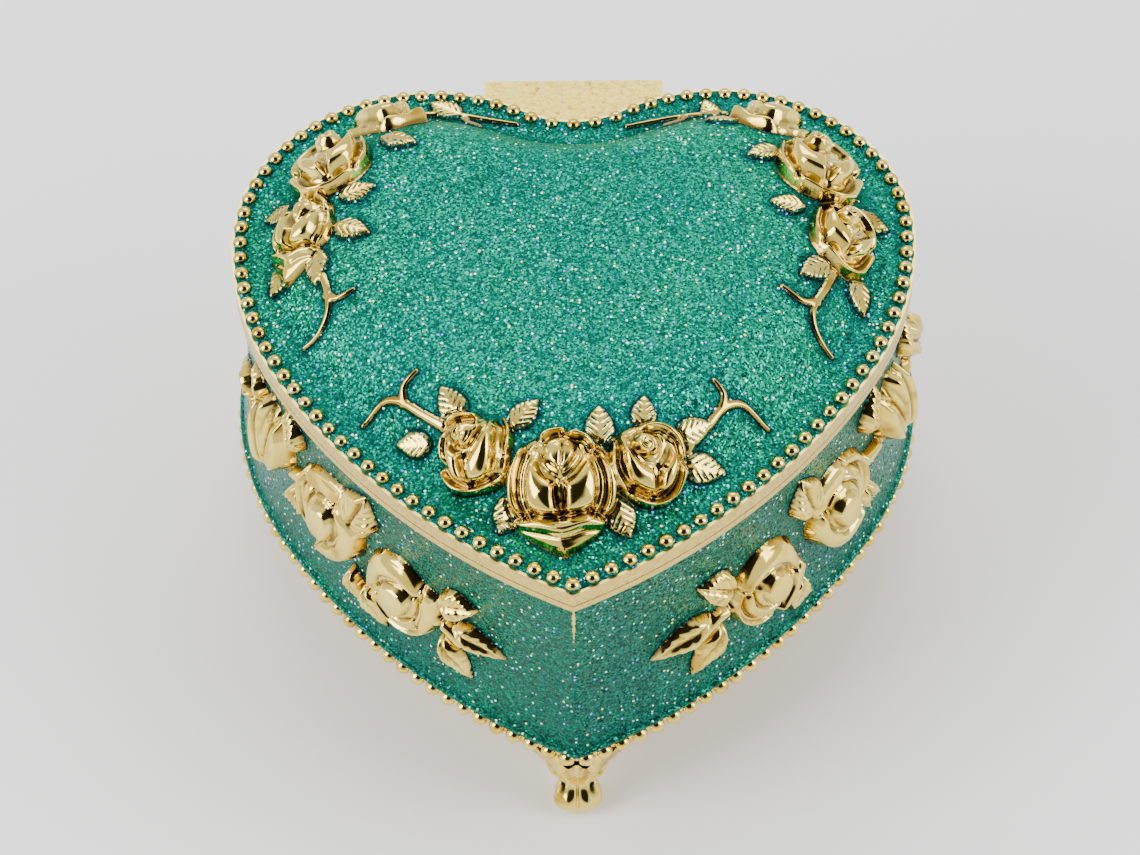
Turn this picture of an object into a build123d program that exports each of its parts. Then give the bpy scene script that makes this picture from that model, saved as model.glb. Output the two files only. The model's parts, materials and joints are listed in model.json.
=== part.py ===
"""Heart-shaped wind-up music box: a cast case on three feet, a hinged domed lid and an 18-note movement.

Millimetres, +Z up. The origin is on the resting surface, at the middle of the box that the object fills.
The heart's point is toward -Y and the hinge is at +Y.
"""
from build123d import *
from math import acos, atan2, cos, degrees, pi, radians, sin, sqrt, tan
import os
import random

os.makedirs("parts", exist_ok=True)

# Heart outline, at the edge of the lid: four tangent arcs on each side
lobe_x = 19.0
lobe_y = 16.06
lobe_radius = 24.9
cleft_radius = 11.8
side_radius = 44.5
side_sweep = 30.5
front_radius = 85.5

# Heights
floor_bottom = 11.9
floor_thickness = 1.4
bead_height = 12.8
ledge_bottom = 13.9
ledge_top = 14.6
rim_bottom = 43.8
case_top = 44.85
lid_bottom = 45.0
flange_top = 47.3

# Case wall: how far it stands outside the lid's edge, from top to bottom
wall_top_growth = -0.8
wall_foot_growth = 1.5
ledge_growth = 1.8
bore_growth = -3.3
shelf_growth = -4.6
wall_sections = 5
enamel_thickness = 0.3
skin_gap = 0.02

# Bead borders
bead_radius = 0.87
bead_pitch = 2.52
lid_bead_growth = -1.17
case_bead_growth = 0.87
seat_growth = case_bead_growth - bead_radius - 0.02

# Lid dome: how far each level stands inside the lid's edge, and how high over the flange
dome_levels = [(-5.0, -0.4), (-7.0, 0.9), (-9.0, 2.65), (-11.0, 4.35), (-13.5, 5.8), (-16.5, 6.7), (-20.0, 7.1)]
dome_foot_growth = dome_levels[0][0]
casting_thickness = 1.4

# Hinge in the cleft
hinge_half_width = 11.8
hinge_y = lobe_y + 25.2
hinge_z = 44.95
plate_back = hinge_y + 1.5
knuckle_radius = 1.4
knuckle_count = 5
knuckle_gap = 0.1
pin_radius = 0.75
leaf_depth = 3.4

# Tray over the movement
tray_bottom = 32.0
board_thickness = 1.0
pad_thickness = 1.2
pocket_growth = -5.3
tray_top = 43.5

# Movement, placed by the axis of its pinned cylinder
move_x = -0.8
move_y = 10.0
plate_bottom = floor_bottom + floor_thickness + skin_gap
plate_thickness = 1.6
plate_top = plate_bottom + plate_thickness
axis_z = plate_top + 8.55
cylinder_radius = 6.5
cylinder_left = 2.0
cylinder_length = 17.4
pin_height = 0.5
note_count = 18
note_pitch = 0.94
arbor_radius = 1.0
running_fit = 0.05

# Gear train: teeth, modules and places along the cylinder's axis
pressure_angle = 25.0
addendum = 0.8
dedendum = 1.0
backlash = 0.12
crown_teeth = 42
crown_pinion_teeth = 14
crown_module = 0.5
great_teeth = 38
small_teeth = 10
train_module = 0.35
worm_wheel_teeth = 24
worm_pitch = 0.9
worm_radius = 1.1
barrel_x = -12.5
barrel_radius = 12.2
wheel_x = 22.95
great_x = 20.0
fan_radius = 3.6
fan_bottom = plate_top + 0.8
fan_height = 3.2

# Worked out from the above
side_centre = Vector(lobe_x + lobe_radius - side_radius, lobe_y)
turn = radians(side_sweep)
front_centre = side_centre + Vector(cos(turn), -sin(turn)) * (side_radius - front_radius)
cleft_y = lobe_y + sqrt((lobe_radius + cleft_radius) ** 2 - lobe_x**2)
lobe_turn = degrees(atan2(cleft_y - lobe_y, lobe_x))
crown_radius = crown_module * crown_teeth / 2
crown_pinion_radius = crown_module * crown_pinion_teeth / 2
great_radius = train_module * great_teeth / 2
small_radius = train_module * small_teeth / 2
worm_wheel_radius = worm_pitch * worm_wheel_teeth / (2 * pi)
governor_y = move_y + great_radius + small_radius
worm_y = governor_y + worm_wheel_radius + worm_radius
crown_pitch_z = axis_z - crown_pinion_radius


def save(piece, name):
    """Label a finished piece and write its STEP file."""
    piece.part.label = name
    export_step(piece.part, f"parts/{name}.step")


def heart_half(growth):
    """The right half of the outline as one wire, from the point to the cleft."""
    front = front_radius + growth
    point_turn = degrees(acos(-front_centre.X / front))
    with BuildLine() as half:
        CenterArc(front_centre, front, -point_turn, point_turn - side_sweep)
        CenterArc(side_centre, side_radius + growth, -side_sweep, side_sweep)
        CenterArc((lobe_x, lobe_y), lobe_radius + growth, 0, 180 - lobe_turn)
        CenterArc((0, cleft_y), cleft_radius - growth, -lobe_turn, lobe_turn - 90)
    return half.wire()


def heart(height, growth=0.0):
    """A heart-shaped face at a height, its edge grown outward from the lid's edge."""
    with BuildSketch(Plane.XY.offset(height)) as face:
        with BuildLine():
            add(heart_half(growth))
            mirror(about=Plane.YZ)
        make_face()
    return face.sketch


def wall_growth(height):
    """The case wall is nearly upright and flares towards its foot."""
    drop = (rim_bottom - height) / (rim_bottom - ledge_bottom)
    return wall_top_growth + (wall_foot_growth - wall_top_growth) * drop**2.5


def wall_solid(skin):
    """The whole case inside its painted wall, grown by a skin."""
    step = (rim_bottom - ledge_bottom) / (wall_sections - 1)
    heights = [ledge_bottom + step * level for level in range(wall_sections)]
    with BuildPart() as solid:
        loft([heart(height, wall_growth(height) + skin) for height in heights])
    return solid.part


def dome_solid(skin):
    """The lid's dome, grown by a skin: steep at its shoulder and flatter towards its top."""
    with BuildPart() as solid:
        loft([heart(flange_top + rise + skin, growth + skin) for growth, rise in dome_levels])
    return solid.part


def bead_places(growth, pitch, first):
    """Evenly spaced points round the outline, mirrored about the heart's axis."""
    half = heart_half(growth)
    count = round(half.length / pitch)
    places = []
    for index in range(count + (0 if first else 1)):
        place = half.position_at((index + first) / count)
        places.append((place.X, place.Y))
        if abs(place.X) > bead_radius / 2:
            places.append((-place.X, place.Y))
    return places


# ---------------------------------------------------------------- case
screw_places = [(-20.5, -9.0), (-20.5, 15.0), (10.5, 8.5)]
movement_screws_at = [(move_x + x, move_y + y) for x, y in screw_places]
plunger_place = (lobe_x + 10.2, lobe_y + 16.15)

with BuildPart() as base_shell:
    add(wall_solid(-enamel_thickness - skin_gap))
    extrude(heart(rim_bottom), amount=case_top - rim_bottom)
    core_skin = enamel_thickness + skin_gap
    extrude(heart(ledge_bottom, ledge_growth - core_skin), amount=ledge_top - ledge_bottom - core_skin)
    extrude(heart(floor_bottom, seat_growth), amount=ledge_bottom - floor_bottom)
    floor_top = floor_bottom + floor_thickness
    extrude(heart(floor_top, shelf_growth), amount=tray_bottom - floor_top, mode=Mode.SUBTRACT)
    extrude(heart(tray_bottom, bore_growth), amount=case_top - tray_bottom, mode=Mode.SUBTRACT)
    with Locations((move_x + barrel_x, move_y, floor_bottom)):
        Cylinder(3.0, 4 * floor_thickness, mode=Mode.SUBTRACT)
    with Locations([(x, y, floor_bottom) for x, y in movement_screws_at]):
        Cylinder(1.1, 4 * floor_thickness, mode=Mode.SUBTRACT)
save(base_shell, "base_shell")

with BuildPart() as base_enamel:
    add(wall_solid(0))
    extrude(heart(ledge_bottom, ledge_growth), amount=ledge_top - ledge_bottom)
    add(wall_solid(-enamel_thickness), mode=Mode.SUBTRACT)
    core_height = ledge_top - ledge_bottom - enamel_thickness
    extrude(heart(ledge_bottom, ledge_growth - enamel_thickness), amount=core_height, mode=Mode.SUBTRACT)
    extrude(heart(rim_bottom - skin_gap, 2), amount=2, mode=Mode.SUBTRACT)
save(base_enamel, "base_enamel")

with BuildPart() as base_bead_border:
    with Locations([(x, y, bead_height) for x, y in bead_places(case_bead_growth, bead_pitch, 0.5)]):
        Sphere(bead_radius)
save(base_bead_border, "base_bead_border")


# ---------------------------------------------------------------- relief flowers
def rose_face(radius):
    """Five round outer petals about a full centre."""
    with BuildSketch() as rose:
        Circle(radius * 0.72)
        with PolarLocations(radius * 0.55, 5, start_angle=18):
            Circle(radius * 0.45)
    return rose.sketch


def leaf_face(length):
    """A pointed leaf along local X, between two arcs."""
    with BuildSketch() as leaf:
        with BuildLine():
            ThreePointArc((-length / 2, 0), (0, length * 0.27), (length / 2, 0))
            ThreePointArc((length / 2, 0), (0, -length * 0.27), (-length / 2, 0))
        make_face()
    return leaf.sketch


def lid_spray(roses, leaves, side=1):
    """Roses (x, y, radius) and leaves (x, y, length, angle) lying on the dome, as raised relief."""
    with BuildPart() as tall:
        with BuildSketch(Plane.XY.offset(flange_top)):
            for x, y, radius in roses:
                with Locations((side * x, lobe_y + y)):
                    add(rose_face(radius))
        extrude(amount=20)
    with BuildPart() as thin:
        with BuildSketch(Plane.XY.offset(flange_top)):
            for x, y, length, angle in leaves:
                with Locations((side * x, lobe_y + y)):
                    add(leaf_face(length), rotation=angle if side > 0 else 180 - angle)
        extrude(amount=20)
    rose_skin = enamel_thickness + 2.0
    leaf_skin = enamel_thickness + 0.9
    with BuildPart() as spray:
        add(dome_solid(rose_skin))
        extrude(heart(flange_top, -2.6), amount=rose_skin)
        add(tall.part, mode=Mode.INTERSECT)
    with BuildPart() as foliage:
        add(dome_solid(leaf_skin))
        extrude(heart(flange_top, -2.6), amount=leaf_skin)
        add(thin.part, mode=Mode.INTERSECT)
    with BuildPart() as whole:
        add(spray.part)
        add(foliage.part)
        add(dome_solid(enamel_thickness + skin_gap), mode=Mode.SUBTRACT)
        floor_skin = enamel_thickness + 2 * skin_gap
        extrude(heart(flange_top - 1, 2), amount=1 + floor_skin, mode=Mode.SUBTRACT)
    return whole


front_roses = [(-10.9, -39.0, 4.3), (-0.2, -43.6, 5.2), (9.4, -40.2, 4.5)]
front_leaves = [
    (-14.6, -32.9, 4.4, 118),
    (-18.4, -35.6, 3.6, 165),
    (-5.6, -35.6, 4.4, 50),
    (3.4, -37.4, 4.2, 80),
    (8.6, -34.8, 3.8, 95),
    (13.8, -35.8, 4.2, 35),
    (15.6, -39.2, 4.4, 5),
    (-8.0, -45.8, 4.4, 215),
    (5.6, -46.8, 4.2, 290),
]
lobe_roses = [(24.6, 17.8, 3.8), (31.2, 7.6, 5.0), (34.2, -3.2, 4.4)]
lobe_leaves = [
    (19.6, 20.6, 4.6, 160),
    (24.6, 8.6, 4.6, 190),
    (28.2, -0.6, 4.6, 190),
    (37.6, 3.2, 3.6, -20),
    (31.0, -10.0, 4.4, 250),
    (36.0, -9.4, 4.2, 285),
]
save(lid_spray(front_roses, front_leaves), "lid_front_spray")
save(lid_spray(lobe_roses, lobe_leaves), "lid_right_spray")
save(lid_spray(lobe_roses, lobe_leaves, side=-1), "lid_left_spray")

garland_roses = [(27.0, 25.4, 4.6), (42.5, 27.4, 4.9), (55.5, 29.0, 4.2), (68.0, 29.5, 4.4)]
garland_leaves = [
    (19.0, 24.0, 6.0, 200),
    (17.5, 29.0, 7.0, 170),
    (20.0, 19.5, 5.0, 235),
    (35.0, 32.4, 4.6, 100),
    (34.5, 21.0, 4.6, 260),
    (49.5, 22.6, 4.6, 280),
    (49.5, 34.6, 4.6, 80),
    (61.8, 34.0, 4.4, 80),
    (74.5, 26.0, 5.0, 330),
]


def wall_plane(along, height):
    """A plane facing out of the right wall, that far along the outline from the heart's point."""
    half = heart_half(wall_growth(height))
    share = along / half.length
    place = half.position_at(share)
    tangent = half.tangent_at(share)
    outward = Vector(tangent.Y, -tangent.X, 0)
    return Plane((place.X, place.Y, height), x_dir=tangent, z_dir=outward).offset(-4)


def garland(side):
    """Roses and leaves standing out of one side wall as raised relief."""
    with BuildPart() as tall:
        for along, height, radius in garland_roses:
            with BuildSketch(wall_plane(along, height)):
                add(rose_face(radius))
            extrude(amount=8)
    with BuildPart() as thin:
        for along, height, length, angle in garland_leaves:
            with BuildSketch(wall_plane(along, height)):
                add(leaf_face(length), rotation=angle)
            extrude(amount=8)
    with BuildPart() as flowers:
        add(wall_solid(2.2))
        add(tall.part, mode=Mode.INTERSECT)
    with BuildPart() as foliage:
        add(wall_solid(1.0))
        add(thin.part, mode=Mode.INTERSECT)
    with BuildPart() as whole:
        add(flowers.part)
        add(foliage.part)
        add(wall_solid(skin_gap), mode=Mode.SUBTRACT)
        if side < 0:
            whole.part = mirror(whole.part, about=Plane.YZ, mode=Mode.PRIVATE)
    return whole


save(garland(1), "base_right_garland")
save(garland(-1), "base_left_garland")


# ---------------------------------------------------------------- feet
def foot(name, x, y, facing):
    """A cast foot whose toe reaches out of the case, in the direction it faces."""
    outward = Vector(cos(radians(facing)), sin(radians(facing)))
    base = Plane((x, y, 0), x_dir=outward, z_dir=(0, 0, 1))
    levels = [(0.0, 2.6, 3.6, 4.6), (1.6, 2.8, 4.0, 5.2), (4.5, 1.5, 3.2, 4.2), (8.0, 0.2, 4.4, 7.2)]
    levels.append((floor_bottom - skin_gap, 0.0, 5.6, 12.6))
    with BuildPart() as piece:
        for height, reach, depth, width in levels:
            with BuildSketch(base.offset(height)):
                with Locations((reach, 0)):
                    Ellipse(depth / 2, width / 2)
        loft()
    save(piece, name)


point_y = heart_half(0).position_at(0).Y
foot("front_foot", 0, point_y + 3.2, -90)
for side, name in ((1, "rear_right_foot"), (-1, "rear_left_foot")):
    spread = 58
    reach = lobe_radius - 3.4
    x = side * (lobe_x + reach * cos(radians(spread)))
    foot(name, x, lobe_y + reach * sin(radians(spread)), spread if side > 0 else 180 - spread)


# ---------------------------------------------------------------- lid
with BuildPart() as lid_shell:
    extrude(heart(lid_bottom), amount=flange_top - lid_bottom)
    add(dome_solid(0))
    inside = dome_foot_growth - casting_thickness
    extrude(heart(lid_bottom, inside), amount=flange_top - lid_bottom, mode=Mode.SUBTRACT)
    add(dome_solid(-casting_thickness), mode=Mode.SUBTRACT)
save(lid_shell, "lid_shell")

with BuildPart() as lid_enamel:
    add(dome_solid(enamel_thickness))
    extrude(heart(flange_top + skin_gap, -2.15), amount=enamel_thickness)
    add(dome_solid(skin_gap), mode=Mode.SUBTRACT)
    extrude(heart(lid_bottom, 1), amount=flange_top + skin_gap - lid_bottom, mode=Mode.SUBTRACT)
save(lid_enamel, "lid_enamel")

with BuildPart() as lid_bead_border:
    lid_bead_z = flange_top + 0.1
    with Locations([(x, y, lid_bead_z) for x, y in bead_places(lid_bead_growth, bead_pitch, 0)]):
        Sphere(bead_radius)
    extrude(heart(lid_bottom, 1), amount=flange_top + skin_gap - lid_bottom, mode=Mode.SUBTRACT)
save(lid_bead_border, "lid_bead_border")

with BuildPart() as lid_lining:
    add(dome_solid(-casting_thickness - skin_gap))
    add(dome_solid(-casting_thickness - pad_thickness), mode=Mode.SUBTRACT)
    extrude(heart(lid_bottom, 1), amount=flange_top + 1 - lid_bottom, mode=Mode.SUBTRACT)
save(lid_lining, "lid_lining")


# ---------------------------------------------------------------- hinge
def leaf_block(bottom, top, back):
    """The block that fills the cleft between the lobes, up to its straight back edge."""
    with BuildPart() as block:
        with BuildSketch(Plane.XY.offset(bottom)):
            with Locations((0, back - 6)):
                Rectangle(2 * hinge_half_width, 12)
        extrude(amount=top - bottom)
        extrude(heart(bottom - 1, skin_gap), amount=top - bottom + 2, mode=Mode.SUBTRACT)
    return block.part


def hinge_rod(radius, start, length):
    """A cylinder along the hinge axis."""
    with BuildPart() as rod:
        with BuildSketch(Plane((start, hinge_y, hinge_z), z_dir=(1, 0, 0))):
            Circle(radius)
        extrude(amount=length)
    return rod.part


knuckle_length = (2 * hinge_half_width - (knuckle_count - 1) * knuckle_gap) / knuckle_count
knuckle_starts = [-hinge_half_width + i * (knuckle_length + knuckle_gap) for i in range(knuckle_count)]
full_width = 2 * hinge_half_width
swept_radius = sqrt((plate_back - hinge_y) ** 2 + (flange_top - hinge_z) ** 2) + 0.15

with BuildPart() as hinge_base_leaf:
    add(leaf_block(case_top - leaf_depth, case_top, hinge_y - 0.4))
    for start in knuckle_starts[::2]:
        add(hinge_rod(knuckle_radius, start, knuckle_length))
        web = Plane((start, hinge_y, hinge_z), x_dir=(0, 1, 0), z_dir=(1, 0, 0))
        with BuildSketch(web):
            with BuildLine():
                Polyline((0, -knuckle_radius), (-0.4, -leaf_depth), (-2, -leaf_depth), (-2, -0.1), (0, -0.1), close=True)
            make_face()
        extrude(amount=knuckle_length)
    for start in knuckle_starts[1::2]:
        room = hinge_rod(knuckle_radius + 0.15, start - knuckle_gap, knuckle_length + 2 * knuckle_gap)
        add(room, mode=Mode.SUBTRACT)
    extrude(heart(case_top - leaf_depth - 1, skin_gap), amount=leaf_depth + 1, mode=Mode.SUBTRACT)
    add(hinge_rod(pin_radius, -hinge_half_width, full_width), mode=Mode.SUBTRACT)
save(hinge_base_leaf, "hinge_base_leaf")

with BuildPart() as hinge_lid_leaf:
    add(leaf_block(lid_bottom, flange_top, plate_back))
    for start in knuckle_starts[::2]:
        room = hinge_rod(knuckle_radius + 0.15, start - knuckle_gap, knuckle_length + 2 * knuckle_gap)
        add(room, mode=Mode.SUBTRACT)
    for start in knuckle_starts[1::2]:
        add(hinge_rod(knuckle_radius, start, knuckle_length))
    add(hinge_rod(pin_radius + running_fit, -hinge_half_width, full_width), mode=Mode.SUBTRACT)
save(hinge_lid_leaf, "hinge_lid_leaf")

with BuildPart() as hinge_pin:
    add(hinge_rod(pin_radius, -hinge_half_width, full_width))
    chamfer(hinge_pin.edges().filter_by(GeomType.CIRCLE), 0.15)
save(hinge_pin, "hinge_pin")


# ---------------------------------------------------------------- tray
plunger_radius = 0.7

with BuildPart() as tray_board:
    extrude(heart(tray_bottom, bore_growth - 0.15), amount=board_thickness)
    with Locations((*plunger_place, tray_bottom)):
        Cylinder(1.6, 6 * board_thickness, mode=Mode.SUBTRACT)
save(tray_board, "tray_board")

with BuildPart() as tray_lining:
    lining_bottom = tray_bottom + board_thickness + skin_gap
    extrude(heart(lining_bottom, bore_growth - 0.15), amount=tray_top - lining_bottom)
    extrude(heart(lining_bottom + pad_thickness, pocket_growth), amount=tray_top - lining_bottom, mode=Mode.SUBTRACT)
    with Locations((*plunger_place, lining_bottom)):
        Cylinder(1.6, 40, mode=Mode.SUBTRACT)
save(tray_lining, "tray_lining")

with BuildPart() as stop_guide:
    with Locations((*plunger_place, tray_bottom)):
        Cylinder(1.55, tray_top - tray_bottom, align=(Align.CENTER, Align.CENTER, Align.MIN))
        Cylinder(plunger_radius + running_fit, 40, mode=Mode.SUBTRACT)
save(stop_guide, "stop_guide")

fan_x, fan_y = move_x + wheel_x, worm_y
with BuildPart() as stop_plunger:
    arm_z = fan_bottom + fan_height + 0.25
    plunger_x, plunger_y = plunger_place
    with Locations((plunger_x, plunger_y, arm_z)):
        Cylinder(plunger_radius, lid_bottom - 0.1 - arm_z, align=(Align.CENTER, Align.CENTER, Align.MIN))
    pad = Vector(fan_x + 0.9, fan_y + 2.4)
    arm = Vector(plunger_x, plunger_y) - pad
    middle = pad + arm * 0.5
    with BuildSketch(Plane((middle.X, middle.Y, arm_z), x_dir=arm, z_dir=(0, 0, 1))):
        SlotCenterToCenter(arm.length, 2 * plunger_radius)
    extrude(amount=1.0)
save(stop_plunger, "stop_plunger")


# ---------------------------------------------------------------- movement
def upright(x, y, z):
    """A plane across the cylinder's axis: local X is +Y and local Y is +Z."""
    return Plane((move_x + x, y, z), x_dir=(0, 1, 0), z_dir=(1, 0, 0))


def gear_face(teeth, module, turned=0.0):
    """A stub-tooth involute gear with one tooth at the turned angle."""
    pitch = module * teeth / 2
    base = pitch * cos(radians(pressure_angle))
    radii = (pitch - dedendum * module, pitch, pitch + addendum * module)
    involute = tan(radians(pressure_angle)) - radians(pressure_angle)

    def half_angle(radius):
        slope = acos(min(1, base / radius))
        thickness = (pi * module / 2 - backlash) / (2 * pitch)
        return degrees(thickness + involute - (tan(slope) - slope))

    def corner(radius, angle):
        return (radius * cos(radians(angle)), radius * sin(radians(angle)))

    with BuildSketch() as face:
        with BuildLine():
            for tooth in range(teeth):
                middle = turned + 360 * tooth / teeth
                rising = [corner(radius, middle - half_angle(radius)) for radius in radii]
                falling = [corner(radius, middle + half_angle(radius)) for radius in reversed(radii)]
                ThreePointArc(*rising)
                Line(rising[-1], falling[0])
                ThreePointArc(*falling)
                Line(falling[-1], corner(radii[0], middle + 360 / teeth - half_angle(radii[0])))
        make_face()
    return face.sketch


def round_bar(plane, radius, length):
    """A plain cylinder standing on a plane."""
    with BuildPart() as bar:
        with BuildSketch(plane):
            Circle(radius)
        extrude(amount=length)
    return bar.part


def screws(places, bottom, shank_radius, shank_length, head_radius, name):
    """Slotted cheese-head screws, their heads at the top."""
    with BuildPart() as group:
        with Locations([(x, y, bottom) for x, y in places]):
            Cylinder(shank_radius, shank_length, align=(Align.CENTER, Align.CENTER, Align.MIN))
        with Locations([(x, y, bottom + shank_length) for x, y in places]):
            Cylinder(head_radius, 0.9, align=(Align.CENTER, Align.CENTER, Align.MIN))
        with Locations([(x, y, bottom + shank_length + 0.9) for x, y in places]):
            Box(3 * head_radius, 0.4, 0.8, mode=Mode.SUBTRACT)
    save(group, name)


key_x = move_x + barrel_x
key_y = move_y
key_radius = 1.6
crown_root_z = crown_pitch_z - dedendum * crown_module
bridge_bottom = crown_pitch_z + addendum * crown_module + 0.5
bridge_thickness = 0.9
bridge_top = bridge_bottom + bridge_thickness
post_places = [(move_x + barrel_x - 10.6, move_y + side * 12.6) for side in (-1, 1)]
comb_tip_y = move_y - cylinder_radius - pin_height - 0.12
comb_root_y = comb_tip_y - 8.0
comb_back_y = comb_root_y - 5.4
comb_left = move_x + cylinder_left + 0.1
comb_width = note_count * note_pitch
comb_screws_at = [(comb_left + comb_width * share, comb_root_y - 2.9) for share in (0.2, 0.8)]
frame_screw_at = (move_x + wheel_x, move_y - 0.9)
bracket_left = barrel_x + barrel_radius + 0.4
bracket_screw_at = (move_x + bracket_left + 0.55, move_y - 4.6)
plate_left, plate_right = move_x - 25.5, move_x + 27.0
plate_front, plate_rear = move_y - 21.5, move_y + 17.5

with BuildPart() as movement_bedplate:
    with BuildSketch(Plane.XY.offset(plate_bottom)):
        with Locations(((plate_left + plate_right) / 2, (plate_front + plate_rear) / 2)):
            RectangleRounded(plate_right - plate_left, plate_rear - plate_front, 3)
        with Locations((move_x + cylinder_left + cylinder_length / 2, move_y)):
            RectangleRounded(cylinder_length - 2, 9, 1.5, mode=Mode.SUBTRACT)
        with Locations((key_x, key_y)):
            Circle(key_radius + running_fit, mode=Mode.SUBTRACT)
        with Locations((fan_x, fan_y)):
            Circle(0.5 + running_fit, mode=Mode.SUBTRACT)
        with Locations(movement_screws_at):
            Circle(1.0 + skin_gap, mode=Mode.SUBTRACT)
    extrude(amount=plate_thickness)
save(movement_bedplate, "movement_bedplate")

with BuildPart() as movement_screws:
    head = 0.9
    with Locations([(x, y, floor_bottom - skin_gap) for x, y in movement_screws_at]):
        Cylinder(1.0, 2.8, align=(Align.CENTER, Align.CENTER, Align.MIN))
        Cylinder(1.9, head, align=(Align.CENTER, Align.CENTER, Align.MAX))
    with Locations([(x, y, floor_bottom - skin_gap - head) for x, y in movement_screws_at]):
        Box(5, 0.4, 0.8, mode=Mode.SUBTRACT)
save(movement_screws, "movement_screws")

with BuildPart() as winding_arbor:
    with Locations((key_x, key_y, 6.5)):
        Cylinder(key_radius, bridge_top + 1.1 - 6.5, align=(Align.CENTER, Align.CENTER, Align.MIN))
save(winding_arbor, "winding_arbor")

with BuildPart() as winding_key:
    with Locations((key_x, key_y, 5.2)):
        Cylinder(2.7, 4.8, align=(Align.CENTER, Align.CENTER, Align.MIN))
    with BuildSketch(Plane((key_x, key_y, 0), x_dir=(1, 0, 0), z_dir=(0, -1, 0)).offset(-0.8)):
        with Locations((-5.0, 5.4), (5.0, 5.4)):
            Ellipse(5.0, 3.6)
        with Locations((0, 6.2)):
            Rectangle(5, 3.6)
    extrude(amount=1.6)
    with Locations((key_x, key_y, 6.5 - skin_gap)):
        Cylinder(key_radius + skin_gap, 10, align=(Align.CENTER, Align.CENTER, Align.MIN), mode=Mode.SUBTRACT)
save(winding_key, "winding_key")

with BuildPart() as spring_barrel:
    drum_bottom = plate_top + 0.3
    with Locations((key_x, key_y, drum_bottom)):
        Cylinder(11.6, crown_root_z - drum_bottom, align=(Align.CENTER, Align.CENTER, Align.MIN))
        Cylinder(10.9, 3.2, align=(Align.CENTER, Align.CENTER, Align.MIN), mode=Mode.SUBTRACT)
    tooth_plane = Plane((key_x, key_y, crown_pitch_z), x_dir=(0, 1, 0), z_dir=(1, 0, 0))
    with BuildSketch(tooth_plane.offset(crown_radius - 0.75)):
        half_tooth = (pi * crown_module / 2 - backlash) / 2
        lean = tan(radians(pressure_angle)) * crown_module
        root, tip = dedendum * crown_module + 0.1, addendum * crown_module
        with BuildLine():
            wide, narrow = half_tooth + lean * dedendum, half_tooth - lean * addendum
            Polyline((-wide, -root), (wide, -root), (narrow, tip), (-narrow, tip), close=True)
        make_face()
    tooth = extrude(amount=1.5, mode=Mode.PRIVATE)
    crown_axis = Axis((key_x, key_y, 0), (0, 0, 1))
    add([tooth.rotate(crown_axis, 360 * index / crown_teeth) for index in range(crown_teeth)])
    with Locations((key_x, key_y, drum_bottom)):
        Cylinder(key_radius + running_fit, 20, mode=Mode.SUBTRACT)
save(spring_barrel, "spring_barrel")

with BuildPart() as mainspring:
    with BuildSketch(Plane.XY.offset(drum_bottom + 0.3)):
        strip, growth_step = 0.28, 0.5
        for index in range(16):
            middle = 2.5 + growth_step * index
            shift = growth_step / 2 if index % 2 else 0
            start = 180 * (index % 2)
            with BuildLine():
                inner = CenterArc((key_x + shift, key_y), middle - strip / 2, start, 180)
                outer = CenterArc((key_x + shift, key_y), middle + strip / 2, start, 180)
                Line(inner @ 0, outer @ 0)
                Line(inner @ 1, outer @ 1)
            make_face()
    extrude(amount=2.5)
save(mainspring, "mainspring")

with BuildPart() as spring_bridge:
    with BuildSketch(Plane.XY.offset(bridge_bottom)):
        with Locations(*post_places):
            Circle(2.2)
        with Locations((key_x, key_y)):
            Circle(4.4)
        make_hull()
    extrude(amount=bridge_thickness)
    with Locations([(x, y, plate_top + skin_gap) for x, y in post_places]):
        Cylinder(1.8, bridge_bottom - plate_top, align=(Align.CENTER, Align.CENTER, Align.MIN))
    with Locations((key_x, key_y, bridge_bottom)):
        Cylinder(key_radius + running_fit, 8, mode=Mode.SUBTRACT)
    with Locations([(x, y, bridge_top) for x, y in post_places]):
        Cylinder(0.8 + skin_gap, 6, mode=Mode.SUBTRACT)
save(spring_bridge, "spring_bridge")
screws(post_places, bridge_top + skin_gap - 2.4, 0.8, 2.4, 1.7, "bridge_screws")

ratchet_teeth = 16
ratchet_bottom = bridge_top + 0.1
with BuildPart() as ratchet_wheel:
    with BuildSketch(Plane.XY.offset(ratchet_bottom)):
        with BuildLine():
            step = 360 / ratchet_teeth
            for index in range(ratchet_teeth):
                tip_point = Vector(3.6, 0).rotate(Axis.Z, step * index)
                foot_point = Vector(3.0, 0).rotate(Axis.Z, step * index)
                next_tip = Vector(3.6, 0).rotate(Axis.Z, step * (index + 1))
                Line(foot_point, tip_point)
                Line(tip_point, Vector(3.0, 0).rotate(Axis.Z, step * (index + 1)))
        make_face()
        Circle(key_radius + skin_gap, mode=Mode.SUBTRACT)
    extrude(amount=0.8)
    ratchet_wheel.part.position = (key_x, key_y, 0)
save(ratchet_wheel, "ratchet_wheel")

with BuildPart() as click_pawl:
    with BuildSketch(Plane.XY.offset(ratchet_bottom)):
        with Locations((key_x - 6.6, key_y - 5.4)):
            Circle(1.1)
        with Locations((key_x - 3.2, key_y - 2.6)):
            Circle(0.35)
        make_hull()
    extrude(amount=0.7)
save(click_pawl, "click_pawl")

with BuildPart() as pin_cylinder:
    add(round_bar(upright(cylinder_left, move_y, axis_z), cylinder_radius, cylinder_length))
    core = round_bar(upright(cylinder_left + 0.8, move_y, axis_z), cylinder_radius - 0.5, cylinder_length)
    add(core, mode=Mode.SUBTRACT)
    cap = round_bar(upright(cylinder_left + cylinder_length - 0.8, move_y, axis_z), cylinder_radius - 0.48, 0.8)
    add(cap)
    bore = round_bar(upright(cylinder_left - 1, move_y, axis_z), arbor_radius + skin_gap, cylinder_length + 2)
    add(bore, mode=Mode.SUBTRACT)
save(pin_cylinder, "pin_cylinder")

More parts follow.
